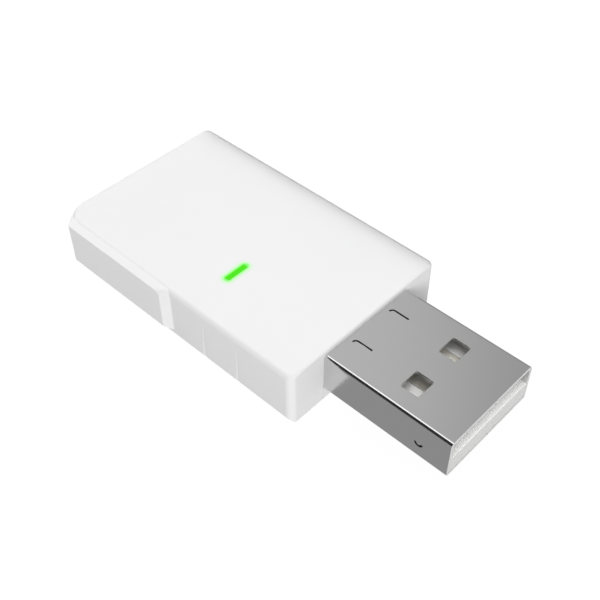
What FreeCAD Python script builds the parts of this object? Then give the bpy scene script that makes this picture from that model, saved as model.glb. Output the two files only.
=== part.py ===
"""USB Bluetooth gateway stick: a moulded housing round a circuit board, with a USB type A plug.

All sizes are in millimetres. X runs along the stick, with the plug's tip at the positive end.
Y runs across it, and Z runs up from the flat underside. The origin is the middle of the whole
stick's outline, on the underside.
"""
import FreeCAD, Part
import math
import os

# Housing
housing_length = 33.0
housing_width = 20.8
housing_height = 6.75
wall = 1.3
ceiling = 1.1
front_corner_radius = 0.8
near_rear_corner_radius = 2.6
far_rear_corner_radius = 0.8
top_edge_radius = 0.6
bottom_edge_chamfer = 0.75
cavity_corner_radius = 0.8

# Grip pads on the sides of the housing, with sloped borders. The -Y pad reaches almost to the top
# face, and the +Y pad ends lower.
pad_proud = 0.7
pad_front_setback = 16.95
pad_rear_inset = 1.95
pad_bottom_height = 1.75
near_pad_top_drop = 0.28
far_pad_top_drop = 1.2
pad_front_run = 0.8
pad_rear_run = 0.6
pad_bottom_run = 0.5
far_pad_top_run = 0.5
pad_root_depth = 0.4
pad_corner_radius = 0.5

# Almost level land above the -Y pad, a small step below the top face
land_slope = 0.16
land_inset = 0.28
land_end_setback = 16.2
land_end_radius = 0.6

# Grip grooves ahead of each pad, which fade out upwards
groove_setbacks = (7.45, 12.03)
groove_depth = 0.2
groove_run = 0.55
groove_return = 0.08
groove_fade_drop = 2.05
groove_tip = 0.02
groove_lip = 0.05

# USB type A plug
plug_reach = 14.45
plug_length = 18.75
plug_width = 12.0
plug_height = 4.5
plug_sheet = 0.25
plug_bend_radius = 0.4
plug_mouth_chamfer = 0.08
plug_clearance = 0.05

# Plug windows, slits, catches, seam and board legs
window_from_tip = 5.3
window_length = 1.95
window_width = 2.3
window_spacing = 5.5
window_corner_radius = 0.2
slit_width = 0.2
slit_start = 1.12
slit_length = 1.63
slit_hook_radius = 0.4
slit_spacing = 5.32
slit_shift = 0.16
catch_from_tip = 3.26
catch_height = 1.62
catch_radius = 0.36
catch_width = 0.13
seam_width = 0.06
leg_width = 1.2
leg_from_rear = 1.2
leg_slot_clearance = 0.08

# Insulator and contacts
insulator_clearance = 0.03
tongue_top = 2.25
tongue_setback = 0.12
tongue_chamfer = 0.2
block_from_tip = 12.1
contact_width = 1.0
contact_thickness = 0.2
contact_proud = 0.03
contact_clearance = 0.03
contact_setback = 1.3
contact_tail = 0.5
contact_foot = 0.8
contact_bend_radius = 0.3
contact_places = {
    "usb_contact_power": -3.5,
    "usb_contact_data_minus": -1.0,
    "usb_contact_data_plus": 1.0,
    "usb_contact_ground": 3.5,
}

# Base cover
cover_thickness = 0.75
cover_rim = 0.25
cover_clearance = 0.06
cover_corner_radius = 1.2
hook_shares = (0.27, 0.76)
hook_width = 3.0
hook_thickness = 0.7
hook_top = 3.4
hook_catch_height = 2.6
hook_barb = 0.3
hook_gap = 0.1
hook_pocket_margin = 0.2
hook_catch_clearance = 0.05
board_gap = 0.18
board_pad_step = 0.1

# Circuit board, its clamping bosses and their pins
board_thickness = 0.8
board_end_gap = 0.2
board_side_gap = 0.5
board_corner_radius = 0.6
board_notch_gap = 0.2
boss_side_gap = 0.45
boss_pin_share = 0.45
boss_pin_length = 0.6
boss_pin_clearance = 0.08
front_boss_setback = 3.1
rear_boss_inset = 3.4
rib_shares = (0.49, 0.715)
rib_thickness = 0.6
rib_depth = 0.9

# Status slot, light pipe and light source
slot_setback = 13.28
slot_inset = 6.24
slot_length = 2.9
slot_width = 0.62
pipe_clearance = 0.03
pipe_recess = 0.04
flange_margin = 0.6
flange_thickness = 0.5
collar_thickness = 0.5
collar_depth = 0.7
guide_width = 1.1
guide_gap = 0.12
pipe_leg_size = 0.5
pipe_leg_spacing = 2.6
led_length = 1.6
led_width = 0.8
led_height = 0.6
led_base_height = 0.3
led_dome_length = 1.12

# Chips and other board parts: length, width and height
wifi_chip_size = (5.0, 5.0, 0.85)
radio_chip_size = (4.0, 4.0, 0.75)
memory_chip_size = (4.9, 3.9, 1.5)
regulator_chip_size = (2.9, 1.6, 1.1)
surge_chip_size = (2.9, 1.6, 1.1)
main_crystal_size = (3.2, 2.5, 0.8)
radio_crystal_size = (2.0, 1.6, 0.5)
inductor_size = (4.0, 4.0, 1.8)
fuse_size = (3.2, 1.6, 0.7)
antenna_size = (2.0, 4.4, 1.1)
large_capacitor_size = (2.0, 1.25, 1.25)
small_part_size = (1.0, 0.5, 0.5)

# Their places: share of the housing's length behind its front, share of the board's half width
wifi_chip_share = (0.588, 0.535)
memory_chip_share = (0.409, 0.57)
regulator_chip_share = (0.248, 0.558)
surge_chip_share = (0.239, -0.709)
main_crystal_share = (0.733, 0.581)
inductor_share = (0.26, 0.058)
fuse_share = (0.248, -0.36)
wifi_antenna_share = (0.894, 0.36)
bluetooth_antenna_share = (0.894, -0.36)
shield_share = (0.664, -0.395)
large_capacitor_shares = ((0.17, 0.837), (0.324, -0.802), (0.47, -0.116))
small_capacitor_share = (0.521, 0.152)
small_resistor_share = (0.482, -0.8)

# Details of the chips and other board parts
chip_edge_chamfer = 0.1
memory_lead_count = 4
small_lead_count = 3
lead_width = 0.36
lead_thickness = 0.15
lead_reach = 0.9
lead_knee = 0.3
lead_root = 0.2
crystal_flange_height = 0.15
crystal_can_inset = 0.15
inductor_corner = 0.6
inductor_core_radius = 1.05
inductor_groove_radius = 1.45
inductor_groove_depth = 0.3
cap_share = 0.22
cap_skin = 0.03
small_capacitor_spacing = 1.15
small_capacitor_count = 5
small_resistor_spacing = 1.2
small_resistor_count = 4

# Screening can over the radio, and where the radio's parts lie in it
shield_length = 9.0
shield_width = 7.4
shield_height = 1.5
shield_sheet = 0.15
shield_frame_lip = 0.6
shield_lid_skirt = 0.9
shield_clearance = 0.03
shield_vent_radius = 0.4
shield_vent_spacing = 2.2
radio_chip_offset = (1.0, 0.1)
radio_crystal_offset = (-2.45, -1.9)

# How far a cutting block runs past what it cuts, and how deep two joined pieces run together
overrun = 1.0
join_depth = 0.2

# Places worked out from the driving sizes
overall_length = housing_length + plug_reach
front_x = overall_length / 2 - plug_reach
rear_x = -overall_length / 2
tip_x = overall_length / 2
half_width = housing_width / 2
ceiling_z = housing_height - ceiling
cavity_half = half_width - wall
near_pad_top = housing_height - near_pad_top_drop
far_pad_top = housing_height - far_pad_top_drop
groove_fade_height = housing_height - groove_fade_drop
board_bottom = cover_thickness + board_gap
board_top = board_bottom + board_thickness
board_half = cavity_half - board_side_gap
plug_underside = board_top
plug_top = plug_underside + plug_height
plug_rear_x = tip_x - plug_length
slot_side = slot_inset - half_width
boss_side = (plug_width / 2 + cavity_half) / 2
boss_radius = (cavity_half - plug_width / 2) / 2 - boss_side_gap
boss_pin_radius = boss_radius * boss_pin_share
cover_inset = bottom_edge_chamfer + cover_rim
tongue_z = plug_underside + tongue_top
UP = FreeCAD.Vector(0, 0, 1)


def vec(x, y, z):
    """Return a point or a direction."""
    return FreeCAD.Vector(x, y, z)


def box(x0, x1, y0, y1, z0, z1):
    """Return the box between two corners."""
    return Part.makeBox(x1 - x0, y1 - y0, z1 - z0, vec(x0, y0, z0))


def polygon(points):
    """Return the flat face inside a closed run of straight edges."""
    return Part.Face(Part.makePolygon(list(points) + [points[0]]))


def rounded_plan(x0, x1, y0, y1, radii, z=0.0):
    """Return a flat rectangle with its own radius at each corner, in order from low x and low y."""
    corners = (
        (x0, y0, 1, 1, radii[0]),
        (x1, y0, -1, 1, radii[1]),
        (x1, y1, -1, -1, radii[2]),
        (x0, y1, 1, -1, radii[3]),
    )
    edges = []
    ends = []
    for index, (x, y, into_x, into_y, radius) in enumerate(corners):
        along_x = vec(x + into_x * radius, y, z)
        along_y = vec(x, y + into_y * radius, z)
        near = radius * (1 - math.sqrt(0.5))
        middle = vec(x + into_x * near, y + into_y * near, z)
        first, last = (along_y, along_x) if index % 2 == 0 else (along_x, along_y)
        ends.append((first, middle, last))
    for index, (first, middle, last) in enumerate(ends):
        edges.append(Part.Arc(first, middle, last).toShape())
        edges.append(Part.LineSegment(last, ends[(index + 1) % 4][0]).toShape())
    return Part.Face(Part.Wire(edges))


def rounded_block(x0, x1, y0, y1, z0, z1, radius):
    """Return an upright block with four rounded upright edges."""
    return rounded_plan(x0, x1, y0, y1, [radius] * 4, z0).extrude(vec(0, 0, z1 - z0))


def tube_section(x, width, height, radius, z0):
    """Return an upright rounded rectangle that faces along X."""
    face = rounded_plan(0, height, -width / 2, width / 2, [radius] * 4)
    face.rotate(vec(0, 0, 0), vec(0, 1, 0), -90)
    face.translate(vec(x, 0, z0))
    return face


def stadium(x, y, length, width, z0, z1):
    """Return a slot-shaped block, with round ends, whose length lies along Y."""
    radius = width / 2
    reach = length / 2 - radius
    low = vec(x - radius, y - reach, z0)
    high = vec(x - radius, y + reach, z0)
    low_far = vec(x + radius, y - reach, z0)
    high_far = vec(x + radius, y + reach, z0)
    edges = [
        Part.Arc(low, vec(x, y - reach - radius, z0), low_far).toShape(),
        Part.LineSegment(low_far, high_far).toShape(),
        Part.Arc(high_far, vec(x, y + reach + radius, z0), high).toShape(),
        Part.LineSegment(high, low).toShape(),
    ]
    return Part.Face(Part.Wire(edges)).extrude(vec(0, 0, z1 - z0))


def edges_at(shape, test):
    """Return the shape's edges whose two ends both pass a test."""
    return [e for e in shape.Edges if all(test(v.Point) for v in e.Vertexes)]


def level_edges(shape, z):
    """Return the shape's edges that lie at one height."""
    return edges_at(shape, lambda point: abs(point.z - z) < 1e-6)


def mirrored(shape):
    """Return the shape's mirror image on the other side of the stick."""
    return shape.mirror(vec(0, 0, 0), vec(0, 1, 0))


def both_sides(shape):
    """Return the shape and its mirror image."""
    return [shape, mirrored(shape)]


def place(setback):
    """Return the X of a place that is set back from the housing's front face."""
    return front_x - setback


def share_place(share):
    """Return the X of a place at a share of the housing's length behind its front face."""
    return front_x - share * housing_length


def spot(shares):
    """Return the X and Y of a board part from its two shares."""
    return share_place(shares[0]), shares[1] * board_half


def boss_centres():
    """Return the plan centres of the bosses that clamp the board."""
    rows = (place(front_boss_setback), rear_x + rear_boss_inset)
    return [(x, boss_side * sign) for x in rows for sign in (-1, 1)]


def pad_plan(y, inward, top, top_slope):
    """Return the pad's outline at a depth below its outer face, as a wire facing across."""
    x0 = rear_x + pad_rear_inset - inward * pad_rear_run / pad_proud
    x1 = place(pad_front_setback) + inward * pad_front_run / pad_proud
    z0 = pad_bottom_height - inward * pad_bottom_run / pad_proud
    z1 = top + inward * top_slope
    bend = pad_corner_radius
    near = bend * (1 - math.sqrt(0.5))
    corner = Part.Arc(vec(x1, y, z1 - bend), vec(x1 - near, y, z1 - near), vec(x1 - bend, y, z1))
    edges = [
        Part.LineSegment(vec(x0, y, z0), vec(x1, y, z0)).toShape(),
        Part.LineSegment(vec(x1, y, z0), vec(x1, y, z1 - bend)).toShape(),
        corner.toShape(),
        Part.LineSegment(vec(x1 - bend, y, z1), vec(x0, y, z1)).toShape(),
        Part.LineSegment(vec(x0, y, z1), vec(x0, y, z0)).toShape(),
    ]
    return Part.Wire(edges)


def grip_pad(top, top_slope):
    """Return a raised pad of the +Y side: a flat face with sloped borders."""
    outer_y = half_width + pad_proud
    depth = pad_proud + pad_root_depth
    root = pad_plan(outer_y - depth, depth, top, top_slope)
    return Part.makeLoft([root, pad_plan(outer_y, 0.0, top, top_slope)], True, True)


def land_cut():
    """Return what is cut off above a +Y pad to leave the land."""
    outer_y = half_width + pad_proud
    inner_y = half_width - land_inset
    far_y = outer_y + overrun
    x0 = rear_x - overrun
    x1 = place(land_end_setback)
    top = housing_height + overrun
    section = polygon([
        vec(x0, inner_y, near_pad_top + (outer_y - inner_y) * land_slope),
        vec(x0, far_y, near_pad_top + (outer_y - far_y) * land_slope),
        vec(x0, far_y, top),
        vec(x0, inner_y, top),
    ])
    wedge = section.extrude(vec(x1 - x0, 0, 0))
    bend = land_end_radius
    corner = box(x1 - bend, x1, inner_y, inner_y + bend, 0, top)
    round_end = Part.makeCylinder(bend, top, vec(x1 - bend, inner_y + bend, 0), UP)
    return wedge.cut(corner.cut(round_end))


def grip_groove(setback):
    """Return the cut of one shallow groove in the +Y side, which fades out upwards."""
    x0 = place(setback)
    x1 = x0 + groove_run
    x2 = x1 + groove_return

    sections = []
    for z, depth in ((0.0, groove_depth), (groove_fade_height, groove_tip)):
        corners = [
            vec(x0 - groove_lip * groove_run / groove_depth, half_width + groove_lip, z),
            vec(x1, half_width - depth, z),
            vec(x2, half_width + groove_lip, z),
        ]
        sections.append(Part.makePolygon(corners + corners[:1]))
    return Part.makeLoft(sections, True, True)


def outer_form():
    """Return the housing's whole outside as one solid block."""
    radii = (
        near_rear_corner_radius,
        front_corner_radius,
        front_corner_radius,
        far_rear_corner_radius,
    )
    plan = rounded_plan(rear_x, front_x, -half_width, half_width, radii)
    form = plan.extrude(vec(0, 0, housing_height))
    form = form.makeFillet(top_edge_radius, level_edges(form, housing_height))
    form = form.makeChamfer(bottom_edge_chamfer, level_edges(form, 0.0))
    near_pad = mirrored(grip_pad(near_pad_top, land_slope))
    far_pad = grip_pad(far_pad_top, far_pad_top_run / pad_proud)
    form = form.fuse([near_pad, far_pad])
    cuts = [mirrored(land_cut())]
    for setback in groove_setbacks:
        cuts += both_sides(grip_groove(setback))
    return form.cut(cuts).removeSplitter()


def plug_passage(x0, x1, clearance):
    """Return the space that the plug takes between two places, with a clearance round it."""
    face = tube_section(
        x0,
        plug_width + 2 * clearance,
        plug_height + 2 * clearance,
        plug_bend_radius + clearance,
        plug_underside - clearance,
    )
    return face.extrude(vec(x1 - x0, 0, 0))


def plug_notch():
    """Return the gap in the front wall below the plug, through which the plug is lowered in."""
    half = plug_width / 2 + plug_clearance
    middle = plug_underside + plug_height / 2
    return box(place(wall), front_x + overrun, -half, half, -overrun, middle)


def cover_opening(gap):
    """Return the block of the underside's opening, made smaller all round by a gap."""
    inset = cover_inset + gap
    return rounded_block(
        rear_x + inset,
        front_x - inset,
        -half_width + inset,
        half_width - inset,
        0,
        cover_thickness,
        cover_corner_radius,
    )


def hook_pocket(x):
    """Return the pocket in the +Y wall that a snap hook catches in."""
    half = hook_width / 2 + hook_pocket_margin
    low = hook_catch_height - hook_catch_clearance
    high = hook_top + hook_pocket_margin
    outer = cavity_half + hook_barb + hook_gap
    return box(x - half, x + half, cavity_half - overrun, outer, low, high)


def clamp_boss(x, y):
    """Return one boss that hangs from the ceiling, stands on the board and pins it."""
    boss = Part.makeCylinder(boss_radius, ceiling_z - board_top, vec(x, y, board_top), UP)
    pin_low = board_top - boss_pin_length
    pin = Part.makeCylinder(boss_pin_radius, boss_pin_length + join_depth, vec(x, y, pin_low), UP)
    return boss.fuse(pin)


def ceiling_ribs():
    """Return the stiffening ribs across the ceiling."""
    ribs = []
    for share in rib_shares:
        x = share_place(share)
        ribs.append(box(
            x - rib_thickness / 2,
            x + rib_thickness / 2,
            -cavity_half,
            cavity_half,
            ceiling_z - rib_depth,
            ceiling_z,
        ))
    return ribs


def flange_outline(margin, z0, z1):
    """Return a block of the light pipe's oblong flange outline, grown by a margin."""
    x = place(slot_setback)
    half_x = slot_width / 2 + flange_margin + margin
    half_y = slot_length / 2 + flange_margin + margin
    return box(x - half_x, x + half_x, slot_side - half_y, slot_side + half_y, z0, z1)


def light_collar():
    """Return the collar that hangs from the ceiling round the light pipe's flange."""
    low = ceiling_z - collar_depth
    outside = flange_outline(pipe_clearance + collar_thickness, low, ceiling_z)
    return outside.cut(flange_outline(pipe_clearance, low, ceiling_z))


def housing():
    """Return the moulded housing, open below, with its plug opening and inner bosses."""
    cavity = rounded_block(
        rear_x + wall,
        front_x - wall,
        -cavity_half,
        cavity_half,
        cover_thickness,
        ceiling_z,
        cavity_corner_radius,
    )
    cuts = [cavity, cover_opening(0.0), plug_notch()]
    cuts.append(plug_passage(plug_rear_x - plug_clearance, front_x + overrun, plug_clearance))
    slot_x = place(slot_setback)
    slot_top = housing_height + overrun
    cuts.append(stadium(slot_x, slot_side, slot_length, slot_width, ceiling_z, slot_top))
    for share in hook_shares:
        cuts += both_sides(hook_pocket(share_place(share)))
    shell = outer_form().cut(cuts)
    inner = [clamp_boss(x, y) for x, y in boss_centres()] + ceiling_ribs() + [light_collar()]
    return shell.fuse(inner).removeSplitter()


def snap_hook(x):
    """Return one snap hook of the +Y side, an arm with a barb that points outwards."""
    outer = cavity_half - hook_gap
    inner = outer - hook_thickness
    profile = polygon([
        vec(x - hook_width / 2, inner, cover_thickness),
        vec(x - hook_width / 2, outer, cover_thickness),
        vec(x - hook_width / 2, outer, hook_catch_height),
        vec(x - hook_width / 2, outer + hook_barb, hook_catch_height),
        vec(x - hook_width / 2, outer + hook_barb, hook_catch_height + hook_barb / 2),
        vec(x - hook_width / 2, outer, hook_top),
        vec(x - hook_width / 2, inner, hook_top),
    ])
    return profile.extrude(vec(hook_width, 0, 0))


def base_cover(outside):
    """Return the plate that closes the underside, with the sill below the plug and its hooks."""
    plate = cover_opening(cover_clearance)
    half = plug_width / 2
    sill_top = plug_underside - plug_clearance
    sill = box(place(wall), front_x + overrun, -half, half, -overrun, sill_top).common(outside)
    link = box(place(cover_inset + wall), place(wall / 2), -half, half, 0, cover_thickness)
    plate = plate.fuse([sill, link])
    pad_radius = boss_radius - board_pad_step
    pieces = []
    for x, y in boss_centres():
        pieces.append(Part.makeCylinder(pad_radius, board_gap, vec(x, y, cover_thickness), UP))
    for share in hook_shares:
        pieces += both_sides(snap_hook(share_place(share)))
    return plate.fuse(pieces).removeSplitter()


def light_pipe():
    """Return the clear lens with its flange, its light guide and two legs on the board."""
    x = place(slot_setback)
    lens = stadium(
        x,
        slot_side,
        slot_length - 2 * pipe_clearance,
        slot_width - 2 * pipe_clearance,
        ceiling_z - flange_thickness,
        housing_height - pipe_recess,
    )
    flange = flange_outline(0.0, ceiling_z - flange_thickness, ceiling_z)
    guide_low = board_top + led_height + guide_gap
    guide = stadium(x, slot_side, slot_length, guide_width, guide_low, ceiling_z - flange_thickness)
    legs = []
    for sign in (-1, 1):
        y = slot_side + sign * pipe_leg_spacing / 2
        half = pipe_leg_size / 2
        legs.append(box(x - half, x + half, y - half, y + half, board_top, guide_low + join_depth))
    return lens.fuse([flange, guide] + legs).removeSplitter()


def chamfered_block(x, y, z, length, width, height, chamfer):
    """Return a block that stands on a height, with a chamfer round its top."""
    block = box(x - length / 2, x + length / 2, y - width / 2, y + width / 2, z, z + height)
    return block.makeChamfer(chamfer, level_edges(block, z + height))


def window_block(y, z0, z1):
    """Return the cut of one window in the plug's shell."""
    x1 = tip_x - window_from_tip
    half = window_width / 2
    return rounded_block(x1 - window_length, x1, y - half, y + half, z0, z1, window_corner_radius)


def latch_slit(y, z0, z1):
    """Return the cut of one hooked slit, straight along the plug and curved at its base end."""
    x = front_x + slit_start
    half = slit_width / 2
    straight = box(x, x + slit_length, y - half, y + half, z0, z1)
    centre_y = y - slit_hook_radius
    ring = Part.makeCylinder(slit_hook_radius + half, z1 - z0, vec(x, centre_y, z0), UP)
    ring = ring.cut(Part.makeCylinder(slit_hook_radius - half, z1 - z0, vec(x, centre_y, z0), UP))
    quarter = ring.common(box(x - overrun, x, centre_y, y + overrun, z0, z1))
    return straight.fuse(quarter)


def side_catch():
    """Return the cut of the small half-moon catch through the plug's +Y side."""
    x = tip_x - catch_from_tip
    z = plug_underside + catch_height
    y = plug_width / 2 - 2 * plug_sheet
    across = vec(0, 1, 0)
    depth = 3 * plug_sheet
    ring = Part.makeCylinder(catch_radius + catch_width / 2, depth, vec(x, y, z), across)
    ring = ring.cut(Part.makeCylinder(catch_radius - catch_width / 2, depth, vec(x, y, z), across))
    return ring.common(box(x - overrun, x + overrun, y, y + depth, z - overrun, z))


def leg_span(clearance):
    """Return the start and end of the shell's board legs along X, with a clearance."""
    x = plug_rear_x + leg_from_rear
    return x - clearance, x + leg_width + clearance


def usb_shell():
    """Return the folded steel shell of the plug, with windows, slits, catches, seam and legs."""
    outside = tube_section(plug_rear_x, plug_width, plug_height, plug_bend_radius, plug_underside)
    inside = tube_section(
        plug_rear_x,
        plug_width - 2 * plug_sheet,
        plug_height - 2 * plug_sheet,
        plug_bend_radius - plug_sheet,
        plug_underside + plug_sheet,
    )
    shell = outside.extrude(vec(plug_length, 0, 0)).cut(inside.extrude(vec(plug_length, 0, 0)))
    mouth = edges_at(shell, lambda point: abs(point.x - tip_x) < 1e-6)
    shell = shell.makeChamfer(plug_mouth_chamfer, mouth)
    top_low = plug_top - 2 * plug_sheet
    top_high = plug_top + plug_sheet
    under_low = plug_underside - plug_sheet
    under_high = plug_underside + 2 * plug_sheet
    cuts = both_sides(side_catch())
    for sign in (-1, 1):
        y = sign * window_spacing / 2
        cuts.append(window_block(y, top_low, top_high))
        cuts.append(window_block(y, under_low, under_high))
        cuts.append(latch_slit(slit_shift + sign * slit_spacing / 2, top_low, top_high))
    half_seam = seam_width / 2
    seam_x0 = plug_rear_x - overrun
    seam_x1 = tip_x + overrun
    cuts.append(box(seam_x0, seam_x1, -half_seam, half_seam, under_low, under_high))
    shell = shell.cut(cuts)
    x0, x1 = leg_span(0.0)
    leg_top = plug_underside + plug_bend_radius + join_depth
    outer = plug_width / 2
    legs = both_sides(box(x0, x1, outer - plug_sheet, outer, board_bottom, leg_top))
    return shell.fuse(legs).removeSplitter()


def contact_channel(y, gap):
    """Return the cut of one contact's groove in the tongue and channel through the block."""
    half = contact_width / 2 + gap
    x1 = tip_x - contact_setback + gap
    low = tongue_z + contact_proud - contact_thickness
    x0 = plug_rear_x - overrun
    high = tongue_z + overrun
    groove = box(x0, x1, y - half, y + half, low, high)
    roof_low = tongue_z + contact_proud + gap
    block_x = tip_x - block_from_tip
    return groove.cut(box(x0, block_x, y - half, y + half, roof_low, high))


def usb_insulator():
    """Return the moulded block with the tongue that carries the contacts."""
    inset = plug_sheet + insulator_clearance
    section = tube_section(
        plug_rear_x,
        plug_width - 2 * inset,
        plug_height - 2 * inset,
        plug_bend_radius - plug_sheet,
        plug_underside + inset,
    )
    length = plug_length - tongue_setback
    body = section.extrude(vec(length, 0, 0))
    block_x = tip_x - block_from_tip
    above = box(block_x, tip_x + overrun, -plug_width, plug_width, tongue_z, plug_top + overrun)
    body = body.cut(above)
    nose_x = tip_x - tongue_setback
    nose = edges_at(body, lambda p: abs(p.x - nose_x) < 1e-6 and abs(p.z - tongue_z) < 1e-6)
    body = body.makeChamfer(tongue_chamfer, nose)
    return body.cut([contact_channel(y, contact_clearance) for y in contact_places.values()])


def usb_contact(y):
    """Return one contact: a strip on the tongue, bent down behind the plug to a foot."""
    top = tongue_z + contact_proud
    low = top - contact_thickness
    x1 = tip_x - contact_setback
    x0 = plug_rear_x - contact_tail
    foot_x = x0 - contact_foot
    foot_top = board_top + contact_thickness
    start = y - contact_width / 2
    profile = polygon([
        vec(x1, start, top),
        vec(x0 - contact_thickness, start, top),
        vec(x0 - contact_thickness, start, foot_top),
        vec(foot_x - contact_thickness, start, foot_top),
        vec(foot_x - contact_thickness, start, board_top),
        vec(x0, start, board_top),
        vec(x0, start, low),
        vec(x1, start, low),
    ])
    strip = profile.extrude(vec(0, contact_width, 0))
    heel_x = x0 - contact_thickness
    upper = edges_at(strip, lambda p: abs(p.x - heel_x) < 1e-6 and abs(p.z - top) < 1e-6)
    lower = edges_at(strip, lambda p: abs(p.x - x0) < 1e-6 and abs(p.z - board_top) < 1e-6)
    return strip.makeFillet(contact_bend_radius, upper + lower)


def main_board():
    """Return the circuit board with its hook notches, pin holes and slots for the shell's legs."""
    x0 = rear_x + wall + board_end_gap
    x1 = front_x - wall - board_end_gap
    board = rounded_block(
        x0, x1, -board_half, board_half, board_bottom, board_top, board_corner_radius)
    half = hook_width / 2 + board_notch_gap
    inner = cavity_half - hook_gap - hook_thickness - board_notch_gap
    cuts = []
    for share in hook_shares:
        x = share_place(share)
        cuts += both_sides(box(x - half, x + half, inner, cavity_half, board_bottom, board_top))
    hole_radius = boss_pin_radius + boss_pin_clearance
    for x, y in boss_centres():
        cuts.append(Part.makeCylinder(hole_radius, board_thickness, vec(x, y, board_bottom), UP))
    slot_x0, slot_x1 = leg_span(leg_slot_clearance)
    outer = plug_width / 2 + leg_slot_clearance
    inner = plug_width / 2 - plug_sheet - leg_slot_clearance
    cuts += both_sides(box(slot_x0, slot_x1, inner, outer, board_bottom, board_top))
    return board.cut(cuts)


def flat_chip(size, centre):
    """Return a leadless chip on the board."""
    length, width, height = size
    x, y = centre
    return chamfered_block(x, y, board_top, length, width, height, chip_edge_chamfer)


def leaded_chip(size, centre, leads):
    """Return a chip with a row of bent leads along each of its two long sides."""
    length, width, height = size
    x, y = centre
    body_low = board_top + lead_thickness
    body = chamfered_block(x, y, body_low, length, width, height, chip_edge_chamfer)
    middle = body_low + height / 2
    pitch = length / leads
    pieces = []
    for index in range(leads):
        lead_x = x + (index - (leads - 1) / 2) * pitch
        for sign in (-1, 1):
            pieces.append(chip_lead(lead_x, y, sign, width / 2, middle))
    return body.fuse(pieces).removeSplitter()


def chip_lead(x, y, sign, half_body, middle):
    """Return one gull-wing lead that leaves a chip's side at half its height."""
    start = half_body - lead_root
    knee = half_body + lead_knee
    end = half_body + lead_reach
    foot_top = board_top + lead_thickness
    low_x = x - lead_width / 2
    section = polygon([
        vec(low_x, y + sign * start, middle),
        vec(low_x, y + sign * (knee + lead_thickness), middle),
        vec(low_x, y + sign * (knee + lead_thickness), foot_top),
        vec(low_x, y + sign * end, foot_top),
        vec(low_x, y + sign * end, board_top),
        vec(low_x, y + sign * knee, board_top),
        vec(low_x, y + sign * knee, middle - lead_thickness),
        vec(low_x, y + sign * start, middle - lead_thickness),
    ])
    return section.extrude(vec(lead_width, 0, 0))


def crystal_can(size, centre):
    """Return a flat metal can on a base flange."""
    length, width, height = size
    x, y = centre
    half_x = length / 2
    half_y = width / 2
    flange_top = board_top + crystal_flange_height
    flange = box(x - half_x, x + half_x, y - half_y, y + half_y, board_top, flange_top)
    can = chamfered_block(
        x,
        y,
        board_top,
        length - 2 * crystal_can_inset,
        width - 2 * crystal_can_inset,
        height,
        chip_edge_chamfer,
    )
    return flange.fuse(can)


def capped_block(size, centre, along_x=True):
    """Return a part on the board whose two end caps stand a skin proud of its body."""
    length, width, height = size
    x, y = centre
    cap = length * cap_share
    half_x = length / 2
    half_y = width / 2
    skin = cap_skin
    block = box(-half_x, half_x, -half_y, half_y, 0, height)
    belt = box(-half_x + cap, half_x - cap, -width, width, -height, 2 * height)
    core = box(-half_x, half_x, -half_y + skin, half_y - skin, skin, height - skin)
    block = block.cut(belt.cut(core))
    if not along_x:
        block.rotate(vec(0, 0, 0), UP, 90)
    block.translate(vec(x, y, board_top))
    return block


def antenna(centre):
    """Return one chip antenna, which lies across the board."""
    length, width, height = antenna_size
    return capped_block((width, length, height), centre, along_x=False)


def power_inductor(centre):
    """Return the wound choke as a block with clipped corners and a round core face."""
    length, width, height = inductor_size
    x, y = centre
    top = board_top + height
    block = box(x - length / 2, x + length / 2, y - width / 2, y + width / 2, board_top, top)
    upright = [e for e in block.Edges if abs(e.Vertexes[0].Z - e.Vertexes[1].Z) > height / 2]
    block = block.makeChamfer(inductor_corner, upright)
    floor = vec(x, y, top - inductor_groove_depth)
    groove = Part.makeCylinder(inductor_groove_radius, inductor_groove_depth, floor, UP)
    core = Part.makeCylinder(inductor_core_radius, inductor_groove_depth, floor, UP)
    return block.cut(groove.cut(core))


def shield_box(inset, low, high):
    """Return a block of the screening can's outline, made smaller all round by an inset."""
    x, y = spot(shield_share)
    half_x = shield_length / 2 - inset
    half_y = shield_width / 2 - inset
    return box(x - half_x, x + half_x, y - half_y, y + half_y, low, high)


def inside_shield(offset):
    """Return the plan centre of a part at an offset from the screening can's centre."""
    x, y = spot(shield_share)
    return x + offset[0], y + offset[1]


def shield_frame():
    """Return the soldered fence of the screening can, with a lip turned in at its top."""
    outer = shield_sheet + shield_clearance
    inner = outer + shield_sheet
    top = board_top + shield_height - shield_sheet
    fence = shield_box(outer, board_top, top)
    hollow = shield_box(inner, board_top, top - shield_sheet)
    mouth = shield_box(outer + shield_frame_lip, board_top, top)
    return fence.cut([hollow, mouth])


def shield_lid():
    """Return the lid that is pressed over the fence, with a row of vent holes."""
    top = board_top + shield_height
    skirt_low = top - shield_lid_skirt
    lid = shield_box(0.0, skirt_low, top)
    lid = lid.makeChamfer(shield_sheet / 2, level_edges(lid, top))
    under = top - shield_sheet
    lid = lid.cut(shield_box(shield_sheet, skirt_low, under))
    vents = []
    for step in (-1, 0, 1):
        x, y = inside_shield((step * shield_vent_spacing, 0.0))
        vents.append(Part.makeCylinder(shield_vent_radius, shield_sheet, vec(x, y, under), UP))
    return lid.cut(vents)


def status_led():
    """Return the light source on the board below the light pipe."""
    x = place(slot_setback)
    base = box(
        x - led_width / 2,
        x + led_width / 2,
        slot_side - led_length / 2,
        slot_side + led_length / 2,
        board_top,
        board_top + led_base_height,
    )
    dome = chamfered_block(
        x, slot_side, board_top, led_width, led_dome_length, led_height, chip_edge_chamfer)
    return base.fuse(dome)


def large_capacitors():
    """Return the power supply's capacitors."""
    blocks = []
    for shares in large_capacitor_shares:
        blocks.append(capped_block(large_capacitor_size, spot(shares), along_x=False))
    return Part.makeCompound(blocks)


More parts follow.
